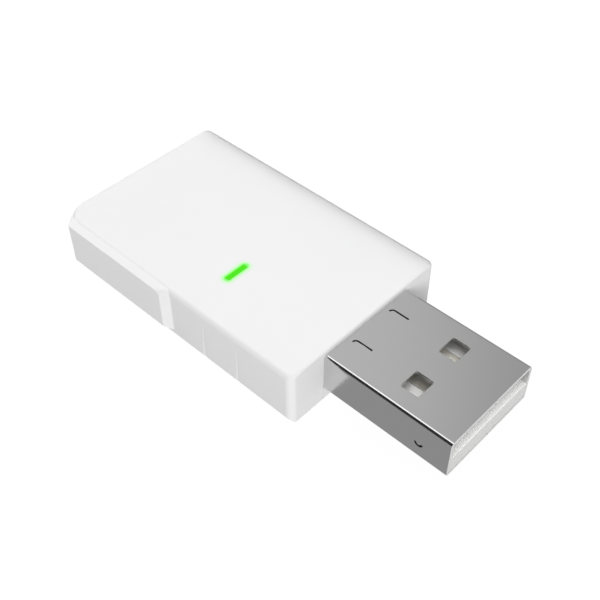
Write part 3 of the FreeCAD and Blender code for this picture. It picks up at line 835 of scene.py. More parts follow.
@dataclass
class MouldedHousing:
    """The white moulded housing: rounded block, grip pads with lands, grooves and openings.

    The slot's rim is given by levels from its edge and by how far each widens the slot, both as
    shares of the edge.
    """

    front: float = FRONT
    rear: float = REAR
    half_width: float = HALF_WIDTH
    height: float = 6.75
    wall: float = 1.3
    ceiling: float = 1.1
    front_corner: float = 0.8
    near_rear_corner: float = 2.6
    far_rear_corner: float = 0.8
    top_edge: float = 0.6
    bottom_chamfer: float = 0.75
    chamfer_edge: float = 0.08
    front_top_edge: float = 0.2
    front_bottom_edge: float = 0.05
    edge_fade: float = 1.2
    edge_fade_cuts: int = 6
    pad_proud: float = 0.7
    pad_front_setback: float = 16.95
    pad_rear_inset: float = 1.95
    pad_bottom: float = 1.75
    near_pad_top: float = 6.47
    far_pad_top: float = 5.55
    pad_front_run: float = 0.8
    pad_rear_run: float = 0.6
    pad_bottom_run: float = 0.5
    far_pad_top_run: float = 0.5
    pad_depth: float = 1.1
    pad_corner: float = 0.5
    pad_edge: float = 0.1
    land_slope: float = 0.16
    land_inset: float = 0.28
    land_end_setback: float = 16.2
    land_end_radius: float = 0.6
    land_lift: float = 0.008
    groove_setbacks: tuple[float, float] = (7.45, 12.03)
    groove_depth: float = 0.2
    groove_run: float = 0.55
    groove_return: float = 0.08
    groove_fade: float = 5.25
    groove_tip: float = 0.03
    groove_lip: float = 0.05
    slot_place: tuple[float, float] = SLOT_PLACE
    slot_length: float = 2.9
    slot_width: float = 0.62
    slot_edge: float = 0.05
    slot_rim: tuple[tuple[float, float], ...] = ((-1.0, 0.0), (-0.3, 0.3), (0.3, 1.3))
    slot_flats: int = 32
    plug_half_width: float = PLUG_HALF_WIDTH
    plug_underside: float = PLUG_UNDERSIDE
    plug_height: float = PLUG_HEIGHT
    plug_bend: float = 0.4
    plug_gap: float = 0.005
    cover_gap: float = 0.05
    plug_reach_inside: float = 4.3
    cover_inset: float = 1.0
    cover_thickness: float = 0.75
    cover_corner: float = 1.2
    cavity_corner: float = 0.8
    overrun: float = 1.0
    flat_angle: float = 0.2
    smooth_angle: float = 18.0

    def rounded_form(self) -> Shape:
        """Make the block with its upright corners, top rim and bottom rim rounded.

        Returns:
            The block.
        """
        form = block(
            (self.rear, -self.half_width, 0), (self.front, self.half_width, self.height))
        # Each corner's test, radius and number of flats
        corners = [
            (lambda p: p.x < 0 and p.y < 0, self.near_rear_corner, 20),
            (lambda p: p.x < 0 and p.y > 0, self.far_rear_corner, 12),
            (lambda p: p.x > 0, self.front_corner, 12),
        ]
        for test, radius, steps in corners:
            upright = running(edges_where(form, test), Axis.UP)
            round_over(form, upright, radius, steps)
        # Each rim's height, radius and number of flats
        rims = [
            (self.height, self.top_edge, 12),
            (0.0, self.bottom_chamfer, 1),
            (self.bottom_chamfer, self.chamfer_edge, 3),
        ]
        for level, radius, steps in rims:
            rim = edges_where(form, lambda p, level=level: same(p.z, level))
            round_over(form, rim, radius, steps)
        self.tighten_front(form)
        bmesh.ops.remove_doubles(form, verts=form.verts, dist=SAME)
        return form

    def tighten_front(self, form: Shape) -> None:
        """Make the front's top and bottom edges tighter, fading back round its two corners.

        Args:
            form: the rounded block, which is changed.
        """
        start = self.front - self.front_corner
        middle = self.half_width - self.front_corner
        for cut in range(self.edge_fade_cuts + 1):
            for side in (-1, 1):
                near = [f for f in form.faces if all(v.co.x > start - SAME for v in f.verts)]
                bmesh.ops.bisect_plane(
                    form, geom=whole(near),
                    plane_co=(0, side * (middle - self.edge_fade * cut / self.edge_fade_cuts), 0),
                    plane_no=(0, 1, 0))
        # Each edge's height, reach, size in front as a share, and where its fading starts
        zones = [
            (self.height, self.top_edge, self.front_top_edge / self.top_edge, -self.edge_fade),
            (0.0, self.bottom_chamfer + self.chamfer_edge,
             self.front_bottom_edge / self.bottom_chamfer, 0.0),
        ]
        for point in form.verts:
            if point.co.x < start - SAME:
                continue
            past = max(abs(point.co.y) - middle, 0.0)
            outward = Vector((point.co.x - start, math.copysign(past, point.co.y)))
            angle = math.atan2(past, point.co.x - start)
            along = angle * self.front_corner if past else abs(point.co.y) - middle
            for level, reach, tight, fade_start in zones:
                depth = self.front_corner - outward.length
                if abs(point.co.z - level) < reach + SAME and depth < reach + SAME:
                    share = (along - fade_start) / (self.edge_fade - fade_start)
                    share = min(max(share, 0.0), 1.0)
                    scale = tight + (1 - tight) * share * share * (3 - 2 * share)
                    outward.length = self.front_corner - depth * scale
                    point.co.x = start + outward.x
                    if past:
                        point.co.y = math.copysign(middle, point.co.y) + outward.y
                    point.co.z = level + (point.co.z - level) * scale

    def grip_pad(self, top: float, top_slope: float) -> Shape:
        """Make a raised pad of the +Y side, with sloped borders and soft edges.

        Args:
            top: the height of its flat face's upper edge.
            top_slope: how steeply its upper border rises inwards.

        Returns:
            The pad, whose root lies inside the housing's wall.
        """
        outer = self.half_width + self.pad_proud
        inner = outer - self.pad_depth
        rear = self.rear + self.pad_rear_inset
        front = self.front - self.pad_front_setback
        pad = block((rear, inner, self.pad_bottom), (front, outer, top))
        middle = (rear + front) / 2
        for corner in pad.verts:
            inward = outer - corner.co.y
            if corner.co.x < middle:
                corner.co.x -= inward * self.pad_rear_run / self.pad_proud
            else:
                corner.co.x += inward * self.pad_front_run / self.pad_proud
            if corner.co.z > self.height / 2:
                corner.co.z += inward * top_slope + self.land_lift
            else:
                corner.co.z -= inward * self.pad_bottom_run / self.pad_proud
        nose = edges_where(pad, lambda p: p.x > middle and p.z > self.height / 2)
        round_over(pad, nose, self.pad_corner, steps=8)
        outline = edges_where(pad, lambda p: p.y > outer - SAME)
        round_over(pad, outline, self.pad_edge, steps=4)
        return pad

    def land_tool(self) -> Shape:
        """Make what is cut off above a +Y pad to leave room for the land.

        Returns:
            The cut.
        """
        outer = self.half_width + self.pad_proud
        inner = self.half_width - self.land_inset
        end = self.front - self.land_end_setback
        top = self.height + self.overrun
        tool = block((self.rear - self.overrun, inner, 0), (end, outer + self.overrun, top))
        corner = edges_where(tool, lambda p: same(p.x, end) and same(p.y, inner))
        round_over(tool, corner, self.land_end_radius, steps=10)
        for point in tool.verts:
            if point.co.z < self.height:
                point.co.z = self.near_pad_top + (outer - point.co.y) * self.land_slope
        return tool

    def groove_tool(self, setback: float) -> Shape:
        """Make the cut of one +Y side groove, which fades out upwards.

        Args:
            setback: its place behind the front face.

        Returns:
            The cut, tapered towards its top.
        """
        start = self.front - setback
        lip = self.groove_lip
        lead = lip * self.groove_run / self.groove_depth
        tool = bmesh.new()
        section = bmesh.ops.create_circle(tool, cap_ends=True, segments=3, radius=1.0)["verts"]
        places = [
            (start - lead, self.half_width + lip),
            (start + self.groove_run, self.half_width - self.groove_depth),
            (start + self.groove_run + self.groove_return, self.half_width + lip),
        ]
        for point, place in zip(section, places):
            point.co = Vector((*place, 0.0))
        raised = bmesh.ops.extrude_face_region(tool, geom=list(tool.faces))["geom"]
        for point in points_of(raised):
            point.co.z = self.groove_fade
            if point.co.y < self.half_width:
                point.co.y = self.half_width - self.groove_tip
        bmesh.ops.recalc_face_normals(tool, faces=tool.faces)
        return tool

    def slot_tool(self) -> Shape:
        """Make the status slot's cut, a round-ended slot with a softened upper rim.

        Returns:
            The cut.
        """
        radius = self.slot_width / 2
        reach = self.slot_length / 2 - radius
        tool = bmesh.new()
        bmesh.ops.create_circle(
            tool, cap_ends=True, segments=self.slot_flats, radius=radius,
            matrix=Matrix.Translation((0, 0, self.height - self.ceiling - self.overrun))
            @ Matrix.Rotation(math.pi / self.slot_flats, 4, "Z"))
        for point in tool.verts:
            point.co.y += math.copysign(reach, point.co.y)
        levels = [(self.height + rise * self.slot_edge, share) for rise, share in self.slot_rim]
        levels.append((self.height + self.overrun, self.slot_rim[-1][1]))
        end = list(tool.faces)
        for level, share in levels:
            raised = bmesh.ops.extrude_face_region(tool, geom=end)["geom"]
            # The first cap closes the cut's bottom, and the later ones would lie inside it.
            if len(tool.faces) > len(end[0].verts) + 2:
                bmesh.ops.delete(tool, geom=end, context="FACES_ONLY")
            end = [g for g in raised if isinstance(g, Face)]
            for point in points_of(raised):
                level_centre = Vector((0, math.copysign(reach, point.co.y), point.co.z))
                outward = (point.co - level_centre).normalized()
                point.co = level_centre + outward * (radius + share * self.slot_edge)
                point.co.z = level
        bmesh.ops.recalc_face_normals(tool, faces=tool.faces)
        bmesh.ops.translate(tool, vec=(*self.slot_place, 0), verts=tool.verts)
        return tool

    def plug_tool(self) -> Shape:
        """Make the plug's passage through the front wall, with its clearance.

        Returns:
            The cut.
        """
        half = self.plug_half_width + self.plug_gap
        tool = block(
            (self.front - self.plug_reach_inside, -half, self.plug_underside - self.plug_gap),
            (self.front + self.overrun, half,
             self.plug_underside + self.plug_height + self.plug_gap))
        upper = edges_where(tool, lambda p: p.z > self.plug_underside + self.plug_height)
        round_over(tool, running(upper, Axis.ALONG), self.plug_bend + self.plug_gap, steps=8)
        return tool

    def sill_tool(self) -> Shape:
        """Make the gap below the plug that the base cover's sill fills.

        Returns:
            The cut.
        """
        half = self.plug_half_width + self.cover_gap
        return block(
            (self.front - self.wall - self.cover_gap, -half, -self.overrun),
            (self.front + self.overrun, half, self.plug_underside + self.cover_gap))

    def inner_tool(self) -> Shape:
        """Make the hollow inside the walls together with the base cover's opening.

        Returns:
            The cut.
        """
        half = self.half_width - self.wall
        hollow = block(
            (self.rear + self.wall, -half, self.cover_thickness - self.cover_gap),
            (self.front - self.wall, half, self.height - self.ceiling))
        round_over(hollow, running(hollow.edges, Axis.UP), self.cavity_corner, steps=6)
        inset = self.cover_inset
        opening = block(
            (self.rear + inset, inset - self.half_width, -self.overrun),
            (self.front - inset, self.half_width - inset, self.cover_thickness))
        round_over(opening, running(opening.edges, Axis.UP), self.cover_corner, steps=8)
        return combined(hollow, opening, Joining.ADD)

    def shape(self) -> Shape:
        """Make the whole housing.

        Returns:
            Its shape.
        """
        form = combined(self.rounded_form(), mirrored(self.land_tool()), Joining.CUT)
        near_pad = mirrored(self.grip_pad(self.near_pad_top, self.land_slope))
        far_pad = self.grip_pad(self.far_pad_top, self.far_pad_top_run / self.pad_proud)
        form = combined(form, gathered([near_pad, far_pad]), Joining.ADD)
        grooves = [mirrored_pair(self.groove_tool(setback)) for setback in self.groove_setbacks]
        form = combined(form, gathered(grooves), Joining.CUT)
        for tool in (self.inner_tool, self.sill_tool, self.plug_tool, self.slot_tool):
            form = combined(form, tool(), Joining.CUT)
        bmesh.ops.dissolve_limit(
            form, angle_limit=math.radians(self.flat_angle), verts=form.verts,
            edges=form.edges)
        return form

    def build(self, finish: Finish) -> Piece:
        """Build the housing.

        Args:
            finish: its finish.

        Returns:
            The piece.
        """
        return finished(
            self.shape(), "housing_moulded", finish, ["housing"],
            smooth_angle=self.smooth_angle)


@dataclass
class PlugShell:
    """The plug's folded steel shell: a rounded tube with windows, slits, catches and a seam."""

    tip: float = TIP
    length: float = PLUG_LENGTH
    half_width: float = PLUG_HALF_WIDTH
    underside: float = PLUG_UNDERSIDE
    height: float = PLUG_HEIGHT
    sheet: float = 0.25
    bend: float = 0.4
    lower_bend: float = 0.12
    mouth_edge: float = 0.08
    mouth_zone: float = 0.12
    mouth_turn: float = 0.05
    window_from_tip: float = 5.3
    window_length: float = 1.95
    window_width: float = 2.3
    window_side: float = 2.75
    window_corner: float = 0.2
    rim: float = 0.05
    rim_start: float = 12.0
    rim_reach: float = 4.5
    slit_start: float = 10.395
    slit_length: float = 1.63
    slit_width: float = 0.2
    slit_hook: float = 0.4
    slit_sides: tuple[float, float] = (-2.5, 2.82)
    catch_from_tip: float = 3.31
    catch_height: float = 1.77
    catch_radius: float = 0.36
    catch_width: float = 0.24
    catch_start: float = 0.01
    catch_zone: float = 2.0
    seam: float = 0.06
    leg_start: float = 6.175
    leg_width: float = 1.2
    leg_foot: float = 0.93
    leg_overlap: float = 0.2
    flush: float = 0.005
    overrun: float = 1.0

    @property
    def top(self) -> float:
        """The Z of the shell's top."""
        return self.underside + self.height

    def tube(self) -> Shape:
        """Make the open tube with softened edges at its mouth.

        Returns:
            The tube.
        """
        parts = []
        for inset, extra in ((0.0, 0.0), (self.sheet, self.overrun)):
            part = block(
                (self.tip - self.length - extra, inset - self.half_width, self.underside + inset),
                (self.tip + extra, self.half_width - inset, self.top - inset))
            middle = self.underside + self.height / 2
            upper = edges_where(part, lambda p: p.z > middle)
            round_over(part, running(upper, Axis.ALONG), self.bend - inset, steps=10)
            if not inset:
                lower = edges_where(part, lambda p: p.z < middle)
                round_over(part, running(lower, Axis.ALONG), self.lower_bend, steps=3)
            parts.append(part)
        tube = combined(*parts, Joining.CUT)
        mouth = edges_where(tube, lambda p: p.x > self.tip - SAME)
        round_over(tube, sharp_among(mouth), self.mouth_edge, steps=4)
        return tube

    def window_tool(self, side: float) -> Shape:
        """Make the cut of the windows in the top and underside on one side.

        Args:
            side: the Y of their middle.

        Returns:
            The cut.
        """
        end = self.tip - self.window_from_tip
        half = self.window_width / 2
        tool = block(
            (end - self.window_length, side - half, self.underside - self.sheet),
            (end, side + half, self.top + self.sheet))
        round_over(tool, running(tool.edges, Axis.UP), self.window_corner, steps=6)
        return tool

    def slit_tool(self, side: float) -> Shape:
        """Make the cut of one slit in the top, straight and then hooked at its base end.

        Args:
            side: the Y of its straight part.

        Returns:
            The cut.
        """
        half = self.slit_width / 2
        tool = block(
            (self.slit_start, side - half, self.top - 2 * self.sheet),
            (self.slit_start + self.slit_length, side + half, self.top + self.sheet))
        swept(
            tool, lambda f: f.normal.x < -UPRIGHT,
            (self.slit_start, side - self.slit_hook, 0), Axis.UP, turn=90, steps=10)
        return tool

    def catch_tool(self) -> Shape:
        """Make the cut of the +Y side's half-moon catch.

        Returns:
            The cut.
        """
        middle = self.tip - self.catch_from_tip
        level = self.underside + self.catch_height
        half = self.catch_width / 2
        tool = block(
            (middle + self.catch_radius - half, self.half_width - 2 * self.sheet,
             level - self.catch_start),
            (middle + self.catch_radius + half, self.half_width + self.sheet, level))
        swept(
            tool, lambda f: f.normal.z < -UPRIGHT, (middle, 0, level), Axis.ACROSS, turn=180,
            steps=20)
        return tool

    def shape(self) -> Shape:
        """Make the whole shell.

        Returns:
            Its shape.
        """
        form = self.tube()
        form = combined(form, mirrored_pair(self.window_tool(self.window_side)), Joining.CUT)
        rims = edges_where(
            form, lambda p: same(p.z, self.top) and abs(p.y) < self.rim_reach
            and self.rim_start < p.x < self.tip - self.overrun)
        round_over(form, sharp_among(rims), self.rim, steps=3)
        slits = gathered([self.slit_tool(side) for side in self.slit_sides])
        form = combined(form, slits, Joining.CUT)
        form = combined(form, mirrored_pair(self.catch_tool()), Joining.CUT)
        seam = block(
            (self.tip - self.length - self.overrun, -self.seam / 2,
             self.underside - self.sheet),
            (self.tip + self.overrun, self.seam / 2, self.underside + 2 * self.sheet))
        form = combined(form, seam, Joining.CUT)
        leg = block(
            (self.leg_start, self.half_width - self.sheet + self.flush, self.leg_foot),
            (self.leg_start + self.leg_width, self.half_width - self.flush,
             self.underside + self.bend + self.leg_overlap))
        return combined(form, mirrored_pair(leg), Joining.ADD)

    def is_mouth(self, face: Face) -> bool:
        """Tell whether a face belongs to the sheet's end at the mouth."""
        return (face.calc_center_median().x > self.tip - self.mouth_zone
                and face.normal.x > self.mouth_turn)

    def is_punched(self, face: Face) -> bool:
        """Tell whether a face is the wall of a slit or a catch.

        Args:
            face: a face of the shell.

        Returns:
            True if it is.
        """
        place = face.calc_center_median()
        if abs(place.y) < self.half_width - self.bend:
            slit_end = self.slit_start + self.slit_length + self.sheet
            return (self.slit_start - self.overrun < place.x < slit_end
                    and place.z > self.top - self.sheet and abs(face.normal.z) < UPRIGHT)
        middle = self.tip - self.catch_from_tip
        return (abs(place.x - middle) < self.overrun and place.z < self.top - self.bend
                and abs(place.z - self.underside - self.bend) < self.catch_zone
                and abs(face.normal.y) < UPRIGHT)

    def build(self, finish: Finish, mouth: Finish, punched: Finish) -> Piece:
        """Build the shell.

        Args:
            finish: the finish of the sheet.
            mouth: the finish of its end at the mouth.
            punched: the finish of the walls of its holes, dark with painted shade.

        Returns:
            The piece.
        """
        return finished(
            self.shape(), "plug_shell_folded", finish, ["usb_shell"],
            [(mouth, self.is_mouth), (punched, self.is_punched)])


@dataclass
class PlugInsulator:
    """The white moulded block inside the plug, with the tongue that carries the contacts."""

    tip: float = TIP
    length: float = PLUG_LENGTH
    half_width: float = 5.74
    underside: float = 2.01
    top: float = 5.95
    corner: float = 0.08
    tongue_top: float = 3.98
    setback: float = 0.06
    nose: float = 0.06
    block_from_tip: float = 12.1
    contact_sides: tuple[float, ...] = (-3.5, -1.0, 1.0, 3.5)
    contact_half: float = 0.53
    contact_setback: float = 1.27
    contact_top: float = 4.01
    contact_depth: float = 0.2
    gap: float = 0.03
    overrun: float = 1.0

    def shape(self) -> Shape:
        """Make the whole insulator.

        Returns:
            Its shape.
        """
        rear = self.tip - self.length
        face = self.tip - self.block_from_tip
        form = block(
            (rear, -self.half_width, self.underside),
            (self.tip - self.setback, self.half_width, self.top))
        round_over(form, running(form.edges, Axis.ALONG), self.corner, steps=6)
        past = self.overrun
        above = block(
            (face, -self.half_width - past, self.tongue_top),
            (self.tip + past, self.half_width + past, self.top + past))
        form = combined(form, above, Joining.CUT)
        nose = self.tip - self.setback
        front = edges_where(form, lambda p: same(p.x, nose) and same(p.z, self.tongue_top))
        round_over(form, front, self.nose, steps=4)
        for side in self.contact_sides:
            groove = block(
                (rear - past, side - self.contact_half, self.contact_top - self.contact_depth),
                (self.tip - self.contact_setback, side + self.contact_half,
                 self.contact_top + self.gap))
            form = combined(form, groove, Joining.CUT)
        return form

    def build(self, finish: Finish) -> Piece:
        """Build the insulator.

        Args:
            finish: its finish.

        Returns:
            The piece.
        """
        return finished(
            self.shape(), "plug_insulator_moulded", finish, ["usb_insulator"])


@dataclass
class BaseCover:
    """The moulded plate that closes the underside, with its sill below the plug."""

    front: float = FRONT
    rear: float = REAR
    half_width: float = HALF_WIDTH
    inset: float = 1.06
    corner: float = 1.14
    thickness: float = 0.75
    edge: float = 0.12
    sill_half: float = PLUG_HALF_WIDTH
    sill_top: float = 1.68
    sill_depth: float = 1.3
    toe_edge: float = 0.05
    hook_centres: tuple[float, float] = (0.365, -15.805)
    hook_half: float = 1.5
    hook_outer: float = 9.0
    hook_thickness: float = 0.7
    hook_top: float = 3.4
    hook_catch: float = 2.6
    hook_barb: float = 0.3
    hook_root: float = 0.2

    def plate(self) -> Shape:
        """Make the flat plate with softened outer edges.

        Returns:
            The plate.
        """
        side = self.half_width - self.inset
        form = block(
            (self.rear + self.inset, -side, 0), (self.front - self.inset, side, self.thickness))
        round_over(form, running(form.edges, Axis.UP), self.corner, steps=8)
        rim = edges_where(form, lambda p: same(p.z, 0.0))
        round_over(form, rim, self.edge, steps=4)
        return form

    def sill(self) -> Shape:
        """Make the upstand that closes the front wall below the plug.

        Returns:
            The sill.
        """
        form = block(
            (self.front - self.sill_depth, -self.sill_half, 0),
            (self.front, self.sill_half, self.sill_top))
        toe = edges_where(form, lambda p: same(p.z, 0.0) and same(p.x, self.front))
        round_over(form, toe, self.toe_edge, steps=1)
        return form

    def hook(self, middle: float) -> Shape:
        """Make a snap hook of the +Y side.

        Args:
            middle: the X of its middle.

        Returns:
            The hook.
        """
        form = block(
            (middle - self.hook_half, self.hook_outer - self.hook_thickness,
             self.thickness - self.hook_root),
            (middle + self.hook_half, self.hook_outer, self.hook_top))
        for level in (self.hook_catch, self.hook_catch + self.hook_barb / 2):
            bmesh.ops.bisect_plane(
                form, geom=whole(form.faces), plane_co=(0, 0, level), plane_no=(0, 0, 1))
        heights = {
            f.calc_center_median().z: f for f in form.faces if f.normal.y > 1 - SAME}
        low = heights[min(height for height in heights if height > self.hook_catch)]
        raised = bmesh.ops.extrude_face_region(form, geom=[low])["geom"]
        for point in points_of(raised):
            point.co.y += self.hook_barb
        bmesh.ops.delete(form, geom=[low], context="FACES_ONLY")
        bmesh.ops.recalc_face_normals(form, faces=form.faces)
        return form

    def shape(self) -> Shape:
        """Make the whole cover.

        Returns:
            Its shape.
        """
        form = combined(self.plate(), self.sill(), Joining.ADD)
        hooks = gathered([mirrored_pair(self.hook(middle)) for middle in self.hook_centres])
        return combined(form, hooks, Joining.ADD)

    def build(self, finish: Finish) -> Piece:
        """Build the cover.

        Args:
            finish: its finish.

        Returns:
            The piece.
        """
        return finished(
            self.shape(), "base_cover_moulded", finish, ["base_cover"])


def light_only(lamp: Piece, pieces: Sequence[Piece]) -> None:
    """Let a lamp light some pieces and nothing else.

    Args:
        lamp: the lamp.
        pieces: the pieces that it lights.
    """
    lit = bpy.data.collections.new(lamp.name + "_lights")
    for piece in pieces:
        lit.objects.link(piece)
    lamp.light_linking.receiver_collection = lit


@dataclass(frozen=True)
class Lamp:
    """One soft box: its name, the direction its light comes from, its strength and its side.

    Polished metal shows it only if it is mirrored.
    """

    name: str
    direction: tuple[float, float, float]
    strength: float
    side: float
    distance: float = 0.6
    mirrored: bool = False

    def hang(self, only: Sequence[Piece] = ()) -> None:
        """Hang the soft box, turned towards the stick.

        Args:
            only: the pieces that it lights, or none for all.
        """
        data = bpy.data.lights.new(self.name, "AREA")
        data.shape = "SQUARE"
        data.size = self.side
        data.energy = LAMP_SPREAD * self.strength * math.pi * self.distance ** 2
        box = linked(self.name, data)
        box.location = Vector(self.direction).normalized() * self.distance
        box.rotation_mode = "QUATERNION"
        box.rotation_quaternion = (-box.location).to_track_quat("-Z", "Y")
        box.visible_glossy = self.mirrored
        if only:
            light_only(box, only)


@dataclass(frozen=True)
class StripLight:
    """A small strip lamp that shines straight down: its place, its size and its radiance."""

    name: str
    place: tuple[float, float, float]
    size: tuple[float, float]
    radiance: float

    def hang(self, only: Sequence[Piece]) -> None:
        """Hang the strip, unseen by the camera and by polished metal.

        Args:
            only: the pieces that it lights.
        """
        data = bpy.data.lights.new(self.name, "AREA")
        data.shape = "RECTANGLE"
        data.size = self.size[0] * MILLIMETRE
        data.size_y = self.size[1] * MILLIMETRE
        data.energy = LAMP_SPREAD * self.radiance * data.size * data.size_y
        strip = linked(self.name, data)
        strip.location = Vector(self.place) * MILLIMETRE
        strip.visible_camera = False
        strip.visible_glossy = False
        light_only(strip, only)


@dataclass(frozen=True)
class Glow:
    """A patch of the surroundings that polished metal shows: where, how bright and how wide."""

    direction: tuple[float, float, float]
    amount: float
    outer: float
    inner: float

    def node(self, tree: Tree, place: Socket) -> Socket:
        """Return the patch's amount for each direction.

        Args:
            tree: the world's node tree.
            place: the direction that is looked in.

        Returns:
            The socket with the amount, which fades between the outer and the inner angle.
        """
        facing = add_node(tree, "ShaderNodeVectorMath", {"operation": "DOT_PRODUCT"}, {
            0: place, 1: Vector(self.direction).normalized()})
        return add_node(tree, "ShaderNodeMapRange", {"interpolation_type": "SMOOTHSTEP"}, {
            "Value": facing.outputs["Value"],
            "From Min": math.cos(math.radians(self.outer)),
            "From Max": math.cos(math.radians(self.inner)),
            "To Max": self.amount}).outputs["Result"]


@dataclass
class Studio:
    """The floor, the lights and the camera, which stand where the photographer's did.

    The lamps' distances and the clip range are in metres.
    """

    camera_place: tuple[float, float, float] = (46.358, -48.803, 71.797)
    camera_aim: tuple[float, float, float] = (0.92, -0.292, 3.4)
    focal_length: float = 57.196
    sensor: float = 36.0
    clip: tuple[float, float] = (0.005, 10.0)
    fill: float = 0.34
    lamps: tuple[Lamp, ...] = (
        Lamp("overhead_soft_box", (-0.31, 0.496, 0.811), 0.405, 0.5),
        Lamp("front_soft_box", (0.773, -0.50, 0.39), 0.46, 0.28),
        Lamp("rear_fill", (-0.936, -0.016, 0.35), 0.305, 0.5),
    )
    window_lamp: Lamp = Lamp("window_soft_box", (0.22, -0.25, 0.94), 0.84, 0.4)
    contact_lamp: Lamp = Lamp(
        "contact_soft_box", (0.33, -0.1, 0.91), 1.5, 0.6, mirrored=True)
    mouth_strip: StripLight = StripLight("mouth_strip", (23.1, 0.0, 5.9), (0.5, 11.0), 1.45)
    mirrored_grey: float = 0.39
    wall_glow: Glow = Glow((-0.62, 0.30, 0.725), 0.27, 30.7, 16.3)
    ceiling_glow: Glow = Glow((-0.338, -0.056, 0.94), 1.3, 16.0, 7.0)
    dark_card: Glow = Glow((-0.35, -0.80, 0.48), 0.92, 39.0, 31.0)
    floor_radius: float = 2000.0
    floor_gap: float = 0.01
    floor_white: float = 1.03
    floor_white_share: float = 0.93
    floor_glow: float = 0.36
    mirrored_floor: float = 0.36
    paper: tuple[str, str] = ("#949494", "#929292")
    paper_grain: float = 2.5
    card_gap: float = 0.6
    card_low: float = 6.9
    card_high: float = 8.8
    card_thickness: float = 0.05
    card_black: str = "#101010"

    def floor(self) -> None:
        """Lay the floor: near white to the camera from above, and clear from below.

        It still takes the stick's shadow, and polished metal mirrors it as an even grey.
        """
        ground = bmesh.new()
        bmesh.ops.create_circle(
            ground, cap_ends=True, segments=64, radius=self.floor_radius,
            matrix=Matrix.Translation((0, 0, -self.floor_gap)))
        piece = linked("floor", to_metres(ground, "floor"))
        made = blank_material("floor_paper")
        tree = made.node_tree

        def glowing(strength: float) -> Socket:
            """Return a surface that gives off an even white light."""
            return add_node(tree, "ShaderNodeEmission", {}, {"Strength": strength}).outputs[0]

        def matt(colour: object) -> Socket:
            """Return a matt surface in a colour."""
            return add_node(tree, "ShaderNodeBsdfDiffuse", {}, {"Color": colour}).outputs[0]

        def mixed(share: object, *surfaces: Socket) -> Socket:
            """Return two surfaces mixed, with a share of the second."""
            inputs = dict(enumerate((share, *surfaces)))
            return add_node(tree, "ShaderNodeMixShader", {}, inputs).outputs[0]

        place = add_node(tree, "ShaderNodeTexCoord", {}, {}).outputs["Object"]
        paper = blended(
            tree, noise(tree, place, self.paper_grain), *(linear(c) for c in self.paper))
        bounce = add_node(tree, "ShaderNodeAddShader", {}, {
            0: matt(paper), 1: glowing(self.floor_glow)}).outputs[0]
        seen = mixed(
            1 - self.floor_white_share, glowing(self.floor_white), matt(linear(WHITE)))
        direct, mirrored_rays = ray_kinds(tree)
        unseen = mixed(mirrored_rays, bounce, glowing(self.mirrored_floor))
        facing = add_node(tree, "ShaderNodeNewGeometry", {}, {})
        clear = add_node(tree, "ShaderNodeBsdfTransparent", {}, {})
        one_sided = mixed(
            facing.outputs["Backfacing"], mixed(direct, unseen, seen), clear.outputs[0])
        add_node(tree, "ShaderNodeOutputMaterial", {}, {"Surface": one_sided})
        piece.data.materials.append(made)

    def edge_card(self) -> None:
        """Stand a narrow black card along the far edge, which shades the white top towards it."""
        side = HALF_WIDTH + self.card_gap
        card = block(
            (REAR, side, self.card_low), (FRONT, side + self.card_thickness, self.card_high))
        piece = linked("edge_card", to_metres(card, "edge_card"))
        made = blank_material("black_card")
        surface = add_node(made.node_tree, "ShaderNodeBsdfPrincipled", {}, {
            "Base Color": linear(self.card_black)})
        add_node(made.node_tree, "ShaderNodeOutputMaterial", {}, {
            "Surface": surface.outputs["BSDF"]})
        piece.data.materials.append(made)
        piece.visible_camera = False
        piece.visible_glossy = False
        piece.visible_transmission = False

    def surroundings(self) -> None:
        """Set the world: white to the camera, a soft studio to metal, and a plain fill light."""
        world = bpy.data.worlds.new("studio")
        bpy.context.scene.world = world
        world.use_nodes = True
        tree = world.node_tree
        tree.nodes.clear()
        place = add_node(tree, "ShaderNodeTexCoord", {}, {}).outputs["Generated"]
        level = calculated(
            tree, "ADD", self.wall_glow.node(tree, place), self.mirrored_grey)
        level = calculated(tree, "ADD", self.ceiling_glow.node(tree, place), level)
        open_share = calculated(tree, "SUBTRACT", 1.0, self.dark_card.node(tree, place))
        level = calculated(tree, "MULTIPLY", level, open_share)
        direct, mirrored_rays = ray_kinds(tree)
        unseen = add_node(tree, "ShaderNodeMix", {"data_type": "FLOAT"}, {
            0: mirrored_rays, 2: self.fill, 3: level})
        strength = add_node(tree, "ShaderNodeMix", {"data_type": "FLOAT"}, {
            0: direct, 2: unseen.outputs[0], 3: 1.0})
        sky = add_node(tree, "ShaderNodeBackground", {}, {
            "Color": linear(WHITE), "Strength": strength.outputs[0]})
        add_node(tree, "ShaderNodeOutputWorld", {}, {"Surface": sky.outputs[0]})

    def camera(self) -> None:
        """Set the camera."""
        data = bpy.data.cameras.new("camera")
        data.sensor_width = self.sensor
        data.lens = self.focal_length
        data.clip_start, data.clip_end = self.clip
        holder = linked("camera", data)
        holder.location = Vector(self.camera_place) * MILLIMETRE
        sight = (Vector(self.camera_aim) - Vector(self.camera_place)) * MILLIMETRE
        holder.rotation_mode = "QUATERNION"
        holder.rotation_quaternion = sight.to_track_quat("-Z", "Y")
        bpy.context.scene.camera = holder

    def build(self, tongue: Piece, contacts: Sequence[Piece]) -> None:
        """Build the whole studio.

        Args:
            tongue: the plug's insulator, which has its own light through the windows.
            contacts: the plug's contacts, which have a brighter one.
        """
        self.floor()
        self.edge_card()
        self.surroundings()
        for lamp in self.lamps:
            lamp.hang()
        self.window_lamp.hang([tongue])
        self.contact_lamp.hang(contacts)
        self.mouth_strip.hang([tongue])
        self.camera()
        bpy.context.scene.view_settings.view_transform = "Standard"


